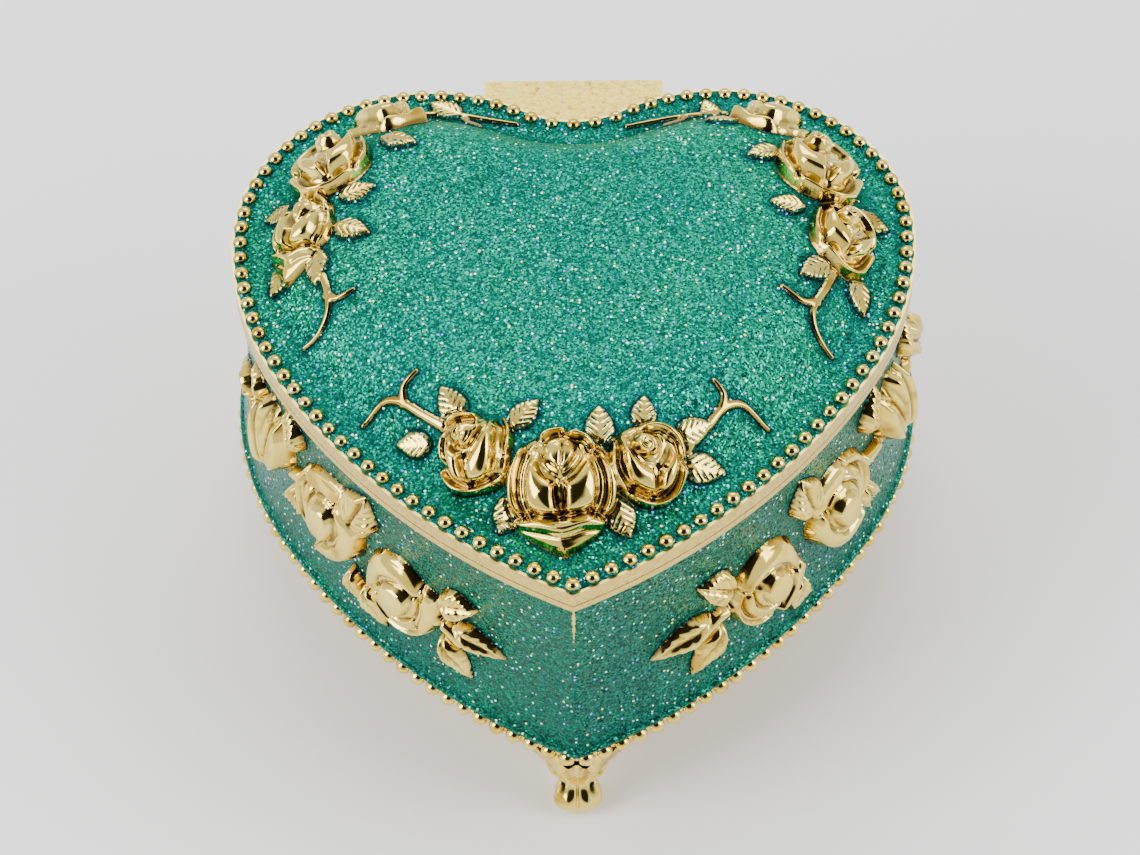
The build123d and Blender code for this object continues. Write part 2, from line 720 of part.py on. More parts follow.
# The pins of one tune: each track sounds a few times a turn, at beats of a 48-part bar
tune = random.Random(18)
beats = 48
with BuildPart() as cylinder_pins:
    for note in range(note_count):
        across = cylinder_left + 0.75 + note * note_pitch
        for beat in sorted(tune.sample(range(0, beats, 2), 7)):
            turned = radians(360 * beat / beats + 3)
            outward = Vector(0, cos(turned), sin(turned))
            foot_of_pin = Vector(move_x + across, move_y, axis_z) + outward * (cylinder_radius + skin_gap)
            with BuildSketch(Plane(foot_of_pin, x_dir=(1, 0, 0), z_dir=outward)):
                Circle(0.17)
    extrude(amount=pin_height - skin_gap)
save(cylinder_pins, "cylinder_pins")

crown_pinion_x = barrel_x + crown_radius
with BuildPart() as cylinder_arbor:
    start = crown_pinion_x - 0.9
    add(round_bar(upright(start, move_y, axis_z), arbor_radius, wheel_x - 1.1 - start))
save(cylinder_arbor, "cylinder_arbor")


def gear(name, teeth, module, turned, x, y, width, bore):
    """A spur gear across the cylinder's axis, bored for its arbor."""
    with BuildPart() as piece:
        with BuildSketch(upright(x - width / 2, y, axis_z)):
            add(gear_face(teeth, module, turned))
            Circle(bore + skin_gap, mode=Mode.SUBTRACT)
        extrude(amount=width)
    save(piece, name)


gear("crown_pinion", crown_pinion_teeth, crown_module, 0, crown_pinion_x, move_y, 1.0, arbor_radius)
gear("great_gear", great_teeth, train_module, 0, great_x, move_y, 0.9, arbor_radius)
governor_radius = 0.5
small_turn = 180 / small_teeth
wheel_turn = 180 / worm_wheel_teeth
wheel_module = worm_pitch / pi
gear("governor_pinion", small_teeth, train_module, small_turn, great_x, governor_y, 1.1, governor_radius)
gear("worm_wheel", worm_wheel_teeth, wheel_module, wheel_turn, wheel_x, governor_y, 0.7, governor_radius)

with BuildPart() as governor_arbor:
    add(round_bar(upright(great_x - 0.7, governor_y, axis_z), governor_radius, wheel_x + 2.0 - great_x + 0.7))
save(governor_arbor, "governor_arbor")

side_gap, side_plate = 1.5, 0.8
frame_top = axis_z + worm_wheel_radius + 0.7
with BuildPart() as governor_frame:
    for x in (wheel_x - side_gap - side_plate, wheel_x + side_gap):
        with BuildSketch(upright(x, move_y, plate_top + skin_gap)):
            with BuildLine():
                low, high = fan_height + 1.4, frame_top - plate_top - skin_gap
                front, heel, rear = -3.4, fan_y - move_y - fan_radius - 0.9, fan_y - move_y + 1.3
                Polyline((front, 0), (heel, 0), (heel, low), (rear, low), (rear, high), (front, high), close=True)
            make_face()
        extrude(amount=side_plate)
    span = 2 * (side_gap + side_plate)
    with BuildSketch(Plane.XY.offset(frame_top)):
        with Locations((fan_x, fan_y - 0.7)):
            Rectangle(span, 4)
    extrude(amount=0.8)
    with BuildSketch(Plane.XY.offset(plate_top + skin_gap)):
        with Locations((fan_x, move_y - 0.9)):
            Rectangle(span, 5)
    extrude(amount=0.8)
    for y, radius in ((move_y, arbor_radius), (governor_y, governor_radius)):
        add(round_bar(upright(wheel_x - 5, y, axis_z), radius + running_fit, 10), mode=Mode.SUBTRACT)
    with Locations((fan_x, fan_y, frame_top)):
        Cylinder(governor_radius + running_fit, 6, mode=Mode.SUBTRACT)
save(governor_frame, "governor_frame")

with BuildPart() as cylinder_bracket:
    with BuildSketch(upright(bracket_left, move_y, plate_top + skin_gap)):
        with Locations((0, (axis_z - plate_top) / 2)):
            Rectangle(5, axis_z - plate_top)
        with Locations((0, axis_z - plate_top - skin_gap)):
            Circle(2.5)
            Circle(arbor_radius + running_fit, mode=Mode.SUBTRACT)
    extrude(amount=1.1)
save(cylinder_bracket, "cylinder_bracket")

with BuildPart() as worm_shaft:
    shaft_bottom = plate_bottom + 0.4
    with Locations((fan_x, fan_y, shaft_bottom)):
        Cylinder(governor_radius, frame_top + 1.1 - shaft_bottom, align=(Align.CENTER, Align.CENTER, Align.MIN))
    core_radius = worm_radius - 0.3
    with Locations((fan_x, fan_y, axis_z)):
        Cylinder(core_radius, 6 * worm_pitch)
    thread_bottom = axis_z - 2.75 * worm_pitch
    with BuildLine() as thread_path:
        Helix(worm_pitch, 5 * worm_pitch, worm_radius, center=(fan_x, fan_y, thread_bottom))
    thread_root = Plane((fan_x + worm_radius, fan_y, thread_bottom), x_dir=(1, 0, 0), z_dir=(0, 1, 0))
    with BuildSketch(thread_root):
        half_thread = (worm_pitch / 2 - backlash) / 2
        thread_lean = tan(radians(pressure_angle)) * wheel_module
        outside, inside_depth = addendum * wheel_module, 0.34
        with BuildLine():
            wide = half_thread + thread_lean * inside_depth / wheel_module
            narrow = half_thread - thread_lean * addendum
            Polyline(
                (-inside_depth, -wide), (-inside_depth, wide), (outside, narrow), (outside, -narrow), close=True
            )
        make_face()
    sweep(path=thread_path.line, is_frenet=True)
save(worm_shaft, "worm_shaft")

with BuildPart() as fan:
    with Locations((fan_x, fan_y, fan_bottom)):
        Cylinder(1.2, fan_height, align=(Align.CENTER, Align.CENTER, Align.MIN))
        Box(2 * fan_radius, 0.5, fan_height, align=(Align.CENTER, Align.CENTER, Align.MIN))
        Cylinder(governor_radius + skin_gap, 20, mode=Mode.SUBTRACT)
save(fan, "fan")

with BuildPart() as comb_base:
    comb_z = axis_z - 0.45
    with BuildSketch(Plane.XY.offset(plate_top + skin_gap)):
        with Locations((comb_left + comb_width / 2, (comb_back_y + comb_root_y) / 2)):
            Rectangle(comb_width, comb_root_y - comb_back_y)
        with Locations(*comb_screws_at):
            Circle(0.9 + skin_gap, mode=Mode.SUBTRACT)
    extrude(amount=comb_z - plate_top - 2 * skin_gap)
save(comb_base, "comb_base")

with BuildPart() as comb:
    with BuildSketch(Plane.XY.offset(comb_z)):
        with Locations((comb_left + comb_width / 2, (comb_back_y + comb_root_y) / 2)):
            Rectangle(comb_width, comb_root_y - comb_back_y)
        with Locations(*comb_screws_at):
            Circle(0.9 + skin_gap, mode=Mode.SUBTRACT)
    extrude(amount=0.9)
    with BuildSketch(Plane.XY.offset(comb_z + 0.2)):
        for note in range(note_count):
            with Locations((comb_left + note_pitch * (note + 0.5), (comb_tip_y + comb_root_y) / 2)):
                Rectangle(0.74, comb_tip_y - comb_root_y + 0.02)
    extrude(amount=0.5)
save(comb, "comb")
screws(comb_screws_at, comb_z + 0.9 + skin_gap - 5, 0.9, 5, 1.8, "comb_screws")
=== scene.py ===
"""Looks of the heart-shaped music box: enamel, beads, relief roses, feet, velvet and the studio round it.

Lengths are worked in millimetres and turned to metres when a mesh is made.
"""
import bmesh
import bpy
import json
import math
import numpy as np
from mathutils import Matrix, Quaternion, Vector
from mathutils.kdtree import KDTree


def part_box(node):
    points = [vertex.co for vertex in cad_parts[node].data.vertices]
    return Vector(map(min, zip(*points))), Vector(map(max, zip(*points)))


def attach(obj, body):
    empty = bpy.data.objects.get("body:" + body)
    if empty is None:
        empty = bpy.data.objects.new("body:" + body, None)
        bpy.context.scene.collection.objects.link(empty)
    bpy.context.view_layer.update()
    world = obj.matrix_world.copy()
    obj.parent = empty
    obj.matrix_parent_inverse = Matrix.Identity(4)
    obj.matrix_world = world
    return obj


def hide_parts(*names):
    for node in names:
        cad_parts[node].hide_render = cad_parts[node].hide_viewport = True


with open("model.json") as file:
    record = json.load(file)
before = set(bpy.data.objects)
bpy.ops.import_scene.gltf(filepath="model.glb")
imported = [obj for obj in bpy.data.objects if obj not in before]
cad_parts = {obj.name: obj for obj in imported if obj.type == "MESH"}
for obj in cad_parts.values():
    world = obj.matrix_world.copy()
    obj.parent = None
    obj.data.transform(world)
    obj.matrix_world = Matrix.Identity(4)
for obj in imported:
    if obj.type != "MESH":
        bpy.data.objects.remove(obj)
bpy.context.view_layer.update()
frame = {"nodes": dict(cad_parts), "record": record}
MM = 0.001


def box_mm(node):
    """A CAD node's corners in millimetres."""
    low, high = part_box(node)
    return np.array(low) / MM, np.array(high) / MM


# ---------------------------------------------------------------- heights and outline, from the frame
lid_low, lid_high = box_mm("lid_shell")
enamel_low, enamel_high = box_mm("base_enamel")
bead_low, bead_high = box_mm("base_bead_border")
BEAD = (bead_high[2] - bead_low[2]) / 2
BEAD_Z = (bead_high[2] + bead_low[2]) / 2
FLANGE_THICK, LEDGE_THICK = 2.3, 0.7
FLANGE_TOP = lid_low[2] + FLANGE_THICK
WALL_TOP, LEDGE_BOTTOM = enamel_high[2], enamel_low[2]
LEDGE_TOP = LEDGE_BOTTOM + LEDGE_THICK

LOBE_X, LOBE_RADIUS = 19.0, 24.9
LOBE_Y = lid_high[1] - LOBE_RADIUS
MIDDLE = np.array([0.0, LOBE_Y - 8.0])  # inside the heart, where its rings shrink to
CLEFT_RADIUS, SIDE_RADIUS, SIDE_SWEEP, FRONT_RADIUS = 11.8, 44.5, math.radians(30.5), 85.5
SIDE_X = LOBE_X + LOBE_RADIUS - SIDE_RADIUS
FRONT_X = SIDE_X + math.cos(SIDE_SWEEP) * (SIDE_RADIUS - FRONT_RADIUS)
FRONT_Y = LOBE_Y - math.sin(SIDE_SWEEP) * (SIDE_RADIUS - FRONT_RADIUS)
CLEFT_Y = LOBE_Y + math.sqrt((LOBE_RADIUS + CLEFT_RADIUS) ** 2 - LOBE_X**2)
LOBE_TURN = math.atan2(CLEFT_Y - LOBE_Y, LOBE_X)


def half_arcs(growth):
    """The right half of the outline, point to cleft: (centre x, centre y, radius, start, end) of each arc."""
    front = FRONT_RADIUS + growth
    return [
        (FRONT_X, FRONT_Y, front, -math.acos(-FRONT_X / front), -SIDE_SWEEP),
        (SIDE_X, LOBE_Y, SIDE_RADIUS + growth, -SIDE_SWEEP, 0.0),
        (LOBE_X, LOBE_Y, LOBE_RADIUS + growth, 0.0, math.pi - LOBE_TURN),
        (0.0, CLEFT_Y, CLEFT_RADIUS - growth, -LOBE_TURN, -math.pi / 2),
    ]


def half_outline(growth, along):
    """Points and outward normals at distances measured on the ungrown outline from the heart's point."""
    along = np.asarray(along, float)
    place, normal = np.zeros((along.size, 2)), np.zeros((along.size, 2))
    start = 0.0
    for (x, y, radius, a, b), (_, _, radius0, a0, b0) in zip(half_arcs(growth), half_arcs(0.0)):
        length = radius0 * abs(b0 - a0)
        last = (x, y) == (0.0, CLEFT_Y)
        here = (along >= start - 1e-9) & ((along < start + length) | last)
        turn = a + (b - a) * (along[here] - start) / length
        ray = np.c_[np.cos(turn), np.sin(turn)]
        place[here] = (x, y) + radius * ray
        normal[here] = -ray if last else ray
        start += length
    return place, normal


HALF_LENGTH = sum(radius * abs(b - a) for _, _, radius, a, b in half_arcs(0.0))


def outline(growth, count):
    """The whole closed outline, anticlockwise from the heart's point, with outward normals."""
    along = np.linspace(0, HALF_LENGTH, count // 2 + 1)
    right, normal = half_outline(growth, along)
    mirror = np.array([-1.0, 1.0])
    left, left_normal = (right * mirror)[1:-1][::-1], (normal * mirror)[1:-1][::-1]
    return np.r_[right, left], np.r_[normal, left_normal]


def soften_point(ring, reach):
    """Rounds a closed outline at the heart's point, over about that many millimetres."""
    count = len(ring)
    step = np.linalg.norm(ring[1] - ring[0])
    index = np.minimum(np.arange(count), count - np.arange(count))
    weight = np.exp(-(index * step / (2 * reach)) ** 2)[:, None]
    for _ in range(int(2 * (reach / step) ** 2) + 1):
        ring = ring + 0.5 * weight * ((np.roll(ring, 1, 0) + np.roll(ring, -1, 0)) / 2 - ring)
    return ring


def soft_inset(points):
    """Distance in from the lid's edge and its gradient, rounded off where two sides are about as near."""
    edge, _ = outline(0.0, 1200)
    step = np.linalg.norm(np.roll(edge, -1, 0) - edge, axis=1)
    inset, gradient = np.empty(len(points)), np.empty((len(points), 2))
    for first in range(0, len(points), 4000):
        part = points[first:first + 4000]
        away = part[:, None, :] - edge[None, :, :]
        square = (away**2).sum(2)
        near = step / square**2
        total = near.sum(1)
        inset[first:first + 4000] = (total / (math.pi / 2)) ** (-1 / 3)
        slope = ((near / square)[:, :, None] * away).sum(1) * 4 / (3 * total[:, None])
        gradient[first:first + 4000] = slope * inset[first:first + 4000, None]
    return inset, gradient


ENAMEL = 0.32
DOME_FOOT = 4.4
SHOULDER_RISE, SHOULDER_REACH, SHOULDER_POWER = 6.2, 4.6, 1.8
CROWN_RISE, CROWN_REACH = 1.6, 12.0


def lid_surface(points):
    """Height and slope of the enamelled lid: a flat border, a steep shoulder and a gently crowned top."""
    inset, gradient = soft_inset(points)
    inside = np.maximum(inset - DOME_FOOT, 1e-6)
    shoulder = (inside / SHOULDER_REACH) ** SHOULDER_POWER
    crown = (inside / CROWN_REACH) ** 2
    height = SHOULDER_RISE * (1 - np.exp(-shoulder)) + CROWN_RISE * (1 - np.exp(-crown))
    steep = SHOULDER_RISE * SHOULDER_POWER * shoulder * np.exp(-shoulder)
    steep += CROWN_RISE * 2 * crown * np.exp(-crown)
    return FLANGE_TOP + ENAMEL + height, gradient * (steep / inside)[:, None]


WALL_INSET, WALL_FLARE, FLARE_POWER = 0.8, 2.3, 2.5


def wall_growth(height):
    """How far the enamelled wall stands outside the lid's edge at a height."""
    drop = np.clip((WALL_TOP - height) / (WALL_TOP - LEDGE_BOTTOM), 0, 1)
    return -WALL_INSET + WALL_FLARE * drop**FLARE_POWER


# ---------------------------------------------------------------- materials
class Look:
    """A material or world in the making, with short ways to add the nodes that they share."""

    def __init__(self, name, kind="materials"):
        self.made = getattr(bpy.data, kind).new(name)
        self.made.use_nodes = True
        self.tree = self.made.node_tree
        self.where = self.node("TexCoord").outputs["Object"]

    def connect(self, socket, value):
        """Links a socket to another node's output, or sets its value."""
        if isinstance(value, bpy.types.NodeSocket):
            self.tree.links.new(value, socket)
        else:
            socket.default_value = value

    def node(self, kind, inputs=(), **settings):
        new = self.tree.nodes.new("ShaderNode" + kind)
        for key, value in settings.items():
            setattr(new, key, value)
        for key, value in dict(inputs).items():
            self.connect(new.inputs[key], value)
        return new

    def shade(self, sockets):
        """Connects the shader's own sockets and gives the finished material."""
        for key, value in sockets.items():
            self.connect(self.tree.nodes["Principled BSDF"].inputs[key], value)
        return self.made

    def noise(self, scale, detail, where=None):
        inputs = {"Vector": where or self.where, "Scale": scale, "Detail": detail}
        return self.node("TexNoise", inputs).outputs["Fac"]

    def cells(self, scale):
        return self.node("TexVoronoi", {"Vector": self.where, "Scale": scale}).outputs

    def painted(self, name):
        return self.node("Attribute", attribute_name=name).outputs["Fac"]

    def math(self, operation, a, b):
        return self.node("Math", {0: a, 1: b}, operation=operation).outputs[0]

    def spread(self, value, start=(0.0, 1.0), end=(0.0, 1.0), how="LINEAR"):
        """A value taken from one range to another."""
        ranges = {"From Min": start[0], "From Max": start[1], "To Min": end[0], "To Max": end[1]}
        return self.node("MapRange", {"Value": value, **ranges}, interpolation_type=how).outputs["Result"]

    def mix(self, share, first, second, kind="RGBA"):
        socket, result = {"FLOAT": (2, 0), "VECTOR": (4, 1), "RGBA": (6, 2)}[kind]
        mixed = self.node("Mix", {0: share, socket: first, socket + 1: second}, data_type=kind)
        return mixed.outputs[result]

    def ramp(self, factor, stops):
        """A colour ramp through (position, colour) stops."""
        new = self.node("ValToRGB", {"Fac": factor})
        bar = new.color_ramp
        while len(bar.elements) < len(stops):
            bar.elements.new(0.5)
        for element, (position, colour) in zip(bar.elements, stops):
            element.position = position
            element.color = (*colour, 1)
        return new.outputs["Color"]

    def bump(self, height, strength, distance):
        inputs = {"Height": height, "Strength": strength, "Distance": distance}
        return self.node("Bump", inputs).outputs["Normal"]

    def metal(self, grain, stops, rough, height, strength, distance):
        """A metal whose colour and roughness follow one grain, and whose bumps follow another."""
        return self.shade({"Base Color": self.ramp(grain, stops), "Roughness": self.spread(grain, end=rough),
                           "Normal": self.bump(height, strength, distance), "Metallic": 1.0})


GOLD = (0.82, 0.61, 0.11)
PALE_GOLD = (0.88, 0.70, 0.19)
DEEP_GOLD = (0.60, 0.36, 0.04)
# The dark gold that the relief's foot and hollows are mixed toward: painted shade.
PAINTED_SHADE_GOLD = (0.16, 0.085, 0.014, 1)
BLACK = (0, 0, 0, 1)
GOLD_ROUGH = 0.10

FLAKE_TONES = [(0.0, (0.004, 0.06, 0.040)), (0.3, (0.006, 0.15, 0.09)), (0.6, (0.008, 0.26, 0.15)),
               (0.85, (0.01, 0.38, 0.22)), (0.95, (0.01, 0.54, 0.32))]
# Colours of the glinting flakes, which also glow: painted glints.
GLINT_TONES = [(0.0, (1.0, 0.72, 0.2)), (0.35, (1.0, 0.95, 0.7)), (0.55, (0.4, 1.0, 0.85)),
               (0.85, (0.15, 0.25, 1.0))]
FLAKES = 4600.0
FLAKE_ROUGH = 0.3
ENAMEL_SPECULAR, ENAMEL_EDGE = 0.12, (0.25, 0.85, 0.65, 1)
# Strength of the glints' glow: painted light.
GLINT = 1.5


def gold_nodes(look):
    """Colour, roughness and normal of cast and plated gold: faint waviness, tarnish and tiny pits."""
    wave, grain = look.noise(260.0, 2.0), look.noise(2600.0, 3.0)
    colour = look.ramp(wave, [(0.3, DEEP_GOLD), (0.42, GOLD), (0.7, PALE_GOLD)])
    rough = look.spread(grain, end=(GOLD_ROUGH * 0.6, GOLD_ROUGH * 1.5))
    mixed = look.math("ADD", wave, look.math("MULTIPLY", grain, 0.12))
    return colour, rough, look.bump(mixed, 0.35, 0.0002)


def polished_gold():
    look = Look("polished_gold")
    colour, rough, normal = gold_nodes(look)
    return look.shade({"Base Color": colour, "Roughness": rough, "Normal": normal, "Metallic": 1.0})


def satin_gold():
    """The flat rim bands: softer, with fine pits."""
    look = Look("satin_gold")
    pits = look.spread(look.cells(900.0)["Distance"], (0.05, 0.16))
    stops = [(0.3, (0.62, 0.43, 0.08)), (0.6, (0.78, 0.58, 0.15))]
    return look.metal(look.noise(1500.0, 4.0), stops, (0.2, 0.42), pits, 0.25, 0.00006)


def pitted_gold():
    """The hinge plate: matt, as cast, speckled with pits."""
    look = Look("pitted_gold")
    grain = look.noise(1100.0, 5.0)
    mixed = look.math("MULTIPLY", grain, look.cells(1300.0)["Distance"])
    stops = [(0.3, (0.30, 0.18, 0.03)), (0.45, (0.62, 0.47, 0.09)), (0.7, (0.74, 0.60, 0.16))]
    return look.metal(grain, stops, (0.3, 0.55), mixed, 0.8, 0.00025)


def enamel_nodes(look, shade=1.0):
    """Colour, metal, normal and glow of the enamel: fine teal flakes at random tilts, some glinting with a
    painted glow; shade darkens it all as painted shade, and the pool attribute darkens it more: pooled enamel
    with painted shade.
    """
    fine, coarse = look.cells(FLAKES), look.cells(FLAKES * 0.45)
    pick = look.node("SeparateColor", {"Color": fine["Color"]}).outputs
    spark = look.node("SeparateColor", {"Color": coarse["Color"]}).outputs
    # shade darkens the whole enamel for the copies on the wall and at the relief's foot: painted shade.
    flakes = look.ramp(pick["Red"], [(at, tuple(shade * part for part in tone)) for at, tone in FLAKE_TONES])
    # Darker where the pool attribute is high: pooled enamel with painted shade.
    base = look.mix(look.painted("pool_and_painted_shade"), flakes, (0.0, 0.045 * shade, 0.05 * shade, 1))
    cloud = look.spread(look.noise(60.0, 3.0), (0.35, 0.65), (0.0, 0.35))
    tone = look.mix(cloud, base, (0.0, 0.12 * shade, 0.13 * shade, 1))
    glint = look.ramp(spark["Green"], GLINT_TONES)
    small = look.spread(coarse["Distance"], (0.36, 0.27))
    lit = look.math("MULTIPLY", small, look.math("GREATER_THAN", spark["Red"], 0.88))
    tilt = look.node("VectorMath", {0: fine["Color"], 1: (0.5, 0.5, 0.5)}, operation="SUBTRACT").outputs[0]
    lean = look.node("VectorMath", {0: tilt, "Scale": 0.95}, operation="SCALE").outputs[0]
    facing = look.node("NewGeometry").outputs["Normal"]
    turned = look.node("VectorMath", {0: facing, 1: lean}, operation="ADD").outputs[0]
    normal = look.node("VectorMath", {0: turned}, operation="NORMALIZE").outputs[0]
    # The glinting flakes also glow: painted glints.
    return look.mix(lit, tone, glint), look.spread(lit, end=(0.75, 0.0)), normal, look.mix(lit, BLACK, glint)


def glitter_enamel():
    look = Look("glitter_enamel")
    colour, metal, normal, glow = enamel_nodes(look)
    # The glints glow here: painted light.
    return look.shade({"Emission Color": glow, "Emission Strength": GLINT, "Base Color": colour,
                       "Metallic": metal, "Roughness": FLAKE_ROUGH, "Normal": normal,
                       "Specular IOR Level": ENAMEL_SPECULAR, "Specular Tint": ENAMEL_EDGE})


def part_gilded(name, shade):
    """Gold where the 'gild' attribute is high, enamel left in the low places."""
    look = Look(name)
    gold, rough, gold_normal = gold_nodes(look)
    enamel_colour, metal, enamel_normal, glow = enamel_nodes(look, shade)
    # Gold darkened where the pool attribute is high, at the relief's foot and in its hollows: painted shade.
    gold = look.mix(look.math("MULTIPLY", look.painted("pool_and_painted_shade"), 0.85), gold, PAINTED_SHADE_GOLD)
    worn = look.math("SUBTRACT", look.noise(1800.0, 4.0), 0.5)
    share = look.spread(look.math("ADD", look.painted("gild"), worn), (0.38, 0.52))
    # The enamel's glints glow here too: painted light.
    return look.shade({"Base Color": look.mix(share, enamel_colour, gold),
                       "Emission Color": look.mix(share, glow, BLACK), "Emission Strength": 0.5 * GLINT,
                       "Metallic": look.mix(share, metal, 1.0, "FLOAT"),
                       "Roughness": look.mix(share, FLAKE_ROUGH, rough, "FLOAT"),
                       "Normal": look.mix(share, enamel_normal, gold_normal, "VECTOR"),
                       "Specular IOR Level": ENAMEL_SPECULAR})


def velvet(name, colour, shade):
    look = Look(name)
    pile = look.noise(3200.0, 3.0)
    mixed = look.math("MULTIPLY", pile, look.noise(90.0, 3.0))
    return look.shade({"Base Color": look.ramp(mixed, [(0.12, shade), (0.4, colour)]), "Roughness": 0.95,
                       "Sheen Weight": 0.8, "Sheen Roughness": 0.4, "Normal": look.bump(pile, 0.6, 0.0003)})


def turned_metal(name, dark, light, roughness, stretch):
    """Machined metal with fine drawn lines."""
    look = Look(name)
    lines = look.node("Mapping", {"Vector": look.where, "Scale": stretch}).outputs["Vector"]
    grain = look.noise(900.0, 4.0, lines)
    rough = (roughness * 0.7, roughness * 1.4)
    return look.metal(grain, [(0.3, dark), (0.7, light)], rough, grain, 0.2, 0.00005)


def moulded_plastic():
    look = Look("moulded_plastic")
    grain = look.noise(2500.0, 3.0)
    tones = look.ramp(grain, [(0.3, (0.01, 0.01, 0.012)), (0.7, (0.03, 0.03, 0.032))])
    return look.shade({"Base Color": tones, "Roughness": 0.45, "Normal": look.bump(grain, 0.3, 0.0001)})


polished, satin, pitted = polished_gold(), satin_gold(), pitted_gold()
enamel = glitter_enamel()
# The relief's and the wall's enamel are the lid's enamel darkened to 0.5 and 0.6: painted shade.
gilded = part_gilded("gilded_relief", 0.5)
worn_enamel = part_gilded("worn_enamel", 0.6)
lining = velvet("black_velvet", (0.012, 0.012, 0.014), (0.004, 0.004, 0.005))
by_slot = {
    "gold_plate": polished,
    "glitter_enamel": enamel,
    "velvet": lining,
    "tray_card": velvet("tray_card", (0.10, 0.10, 0.11), (0.06, 0.06, 0.065)),
    "steel": turned_metal("spring_steel", (0.42, 0.43, 0.45), (0.70, 0.71, 0.73), 0.28, (1, 1, 8)),
    "cast_zinc": turned_metal("cast_zinc", (0.48, 0.47, 0.45), (0.64, 0.63, 0.60), 0.42, (1, 1, 1)),
    "movement_brass": turned_metal("movement_brass", (0.62, 0.44, 0.17), (0.86, 0.67, 0.33), 0.26,
                                   (12, 1, 1)),
    "black_plastic": moulded_plastic(),
}
by_node = {"lid_shell": satin, "base_shell": satin, "hinge_lid_leaf": pitted, "hinge_base_leaf": pitted}
for entry in frame["record"]["subparts"]:
    cad = frame["nodes"][entry["node"]]
    cad.data.materials.clear()
    cad.data.materials.append(by_node.get(entry["node"], by_slot[entry["material_slot"]]))


# ---------------------------------------------------------------- mesh helpers
def in_scene(name, data):
    obj = bpy.data.objects.new(name, data)
    bpy.context.scene.collection.objects.link(obj)
    return obj


def piece(name, points, faces, made, body, node):
    """A smooth mesh object from points in millimetres, riding on a body in place of a CAD node."""
    mesh = bpy.data.meshes.new(name)
    mesh.from_pydata((points * MM).tolist(), [], faces if isinstance(faces, list) else faces.tolist())
    mesh.validate()
    mesh.polygons.foreach_set("use_smooth", [True] * len(mesh.polygons))
    mesh.materials.append(made)
    obj = in_scene(name, mesh)
    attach(obj, body)
    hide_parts(node)
    return obj


def paint(obj, name, values):
    """Writes a point attribute that a material reads."""
    attribute = obj.data.attributes.new(name, "FLOAT", "POINT")
    attribute.data.foreach_set("value", values.astype(np.float32))


def strip_faces(rows, columns):
    """Quads of a grid of rows and columns that wraps round its columns."""
    row, column = np.meshgrid(np.arange(rows - 1), np.arange(columns), indexing="ij")
    here, beside = row * columns + column, row * columns + (column + 1) % columns
    return np.stack((here, beside, beside + columns, here + columns), -1).reshape(-1, 4)


def cap_faces(first, count, hub, turned=False):
    """Triangles from a closed ring of points to a hub."""
    pairs = [(first + i, first + (i + 1) % count) for i in range(count)]
    return [(b, a, hub) if turned else (a, b, hub) for a, b in pairs]


def bell(distance, width):
    """A smooth bump of height 1 round zero."""
    return np.exp(-((distance / width) ** 2))


# ---------------------------------------------------------------- lid enamel
def make_lid_enamel(raised):
    """One skin over the border and up the dome; darker along the border, at the dome's foot and by raised
    work: pooled enamel with painted shade.
    """
    count = 800
    growths = (-0.34, -0.42, -0.6, -0.9, -1.3, -1.8, -2.3, -2.8, -3.4, -4.2)
    border = [outline(growth, count)[0] for growth in growths]
    shares = 1 - np.linspace(0, 1, 86) ** 0.9
    rings = border + [MIDDLE + (border[-1] - MIDDLE) * share for share in shares[1:-1]]
    flat = np.concatenate([*rings, MIDDLE[None]])
    height = lid_surface(flat)[0]
    height[:count] = FLANGE_TOP - 0.03
    height[count:2 * count] = FLANGE_TOP + 0.12
    faces = strip_faces(len(rings), count).tolist()
    faces += cap_faces((len(rings) - 1) * count, count, len(flat) - 1)
    obj = piece("lid_glitter", np.c_[flat, height], faces, enamel, "lid", "lid_enamel")
    inset, _ = soft_inset(flat)
    # Darkening along the border, at the dome's foot and round raised work: pooled enamel with painted shade.
    pool_and_painted_shade = 0.75 * bell(inset - 1.2, 1.5) + 0.35 * bell(inset - 4.6, 0.9)
    tree = KDTree(len(raised))
    for index, (x, y) in enumerate(raised):
        tree.insert((x, y, 0), index)
    tree.balance()
    near = np.array([tree.find((x, y, 0))[2] for x, y in flat])
    paint(obj, "pool_and_painted_shade", np.maximum(pool_and_painted_shade, 0.85 * bell(near, 0.75)))


# ---------------------------------------------------------------- wall enamel
def make_wall_enamel():
    """The wall's enamel: it runs over the flared foot and round its lip, and is worn at the heart's point."""
    count = 900
    wall = np.linspace(WALL_TOP + 0.05, LEDGE_TOP + 1.5, 40)
    flare = np.linspace(LEDGE_TOP + 1.2, LEDGE_TOP + 0.1, 6)
    profile = [(wall_growth(z), z) for z in np.r_[wall, flare]]
    lip, lip_growth, lip_z = 0.45, 1.42, LEDGE_BOTTOM + 0.4
    for turn in np.linspace(math.pi * 0.42, -math.pi / 2, 10):
        profile.append((lip_growth + lip * math.cos(turn), lip_z + lip * math.sin(turn)))
    profile.append((0.3, LEDGE_BOTTOM - 0.01))
    rings = [soften_point(outline(growth, count)[0], 0.3) for growth, _ in profile]
    points = np.concatenate([np.c_[ring, np.full(count, z)] for ring, (_, z) in zip(rings, profile)])
    faces = strip_faces(len(rings), count)[:, ::-1]
    obj = piece("wall_glitter", points, faces, worn_enamel, "case", "base_enamel")
    x, y, z = points.T
    worn = 0.75 * bell(x, 0.3) * (y < 0)
    paint(obj, "gild", worn * np.clip((z - (WALL_TOP - 13)) / 9, 0, 1) * np.clip((WALL_TOP - z) / 0.6, 0, 1))


make_wall_enamel()


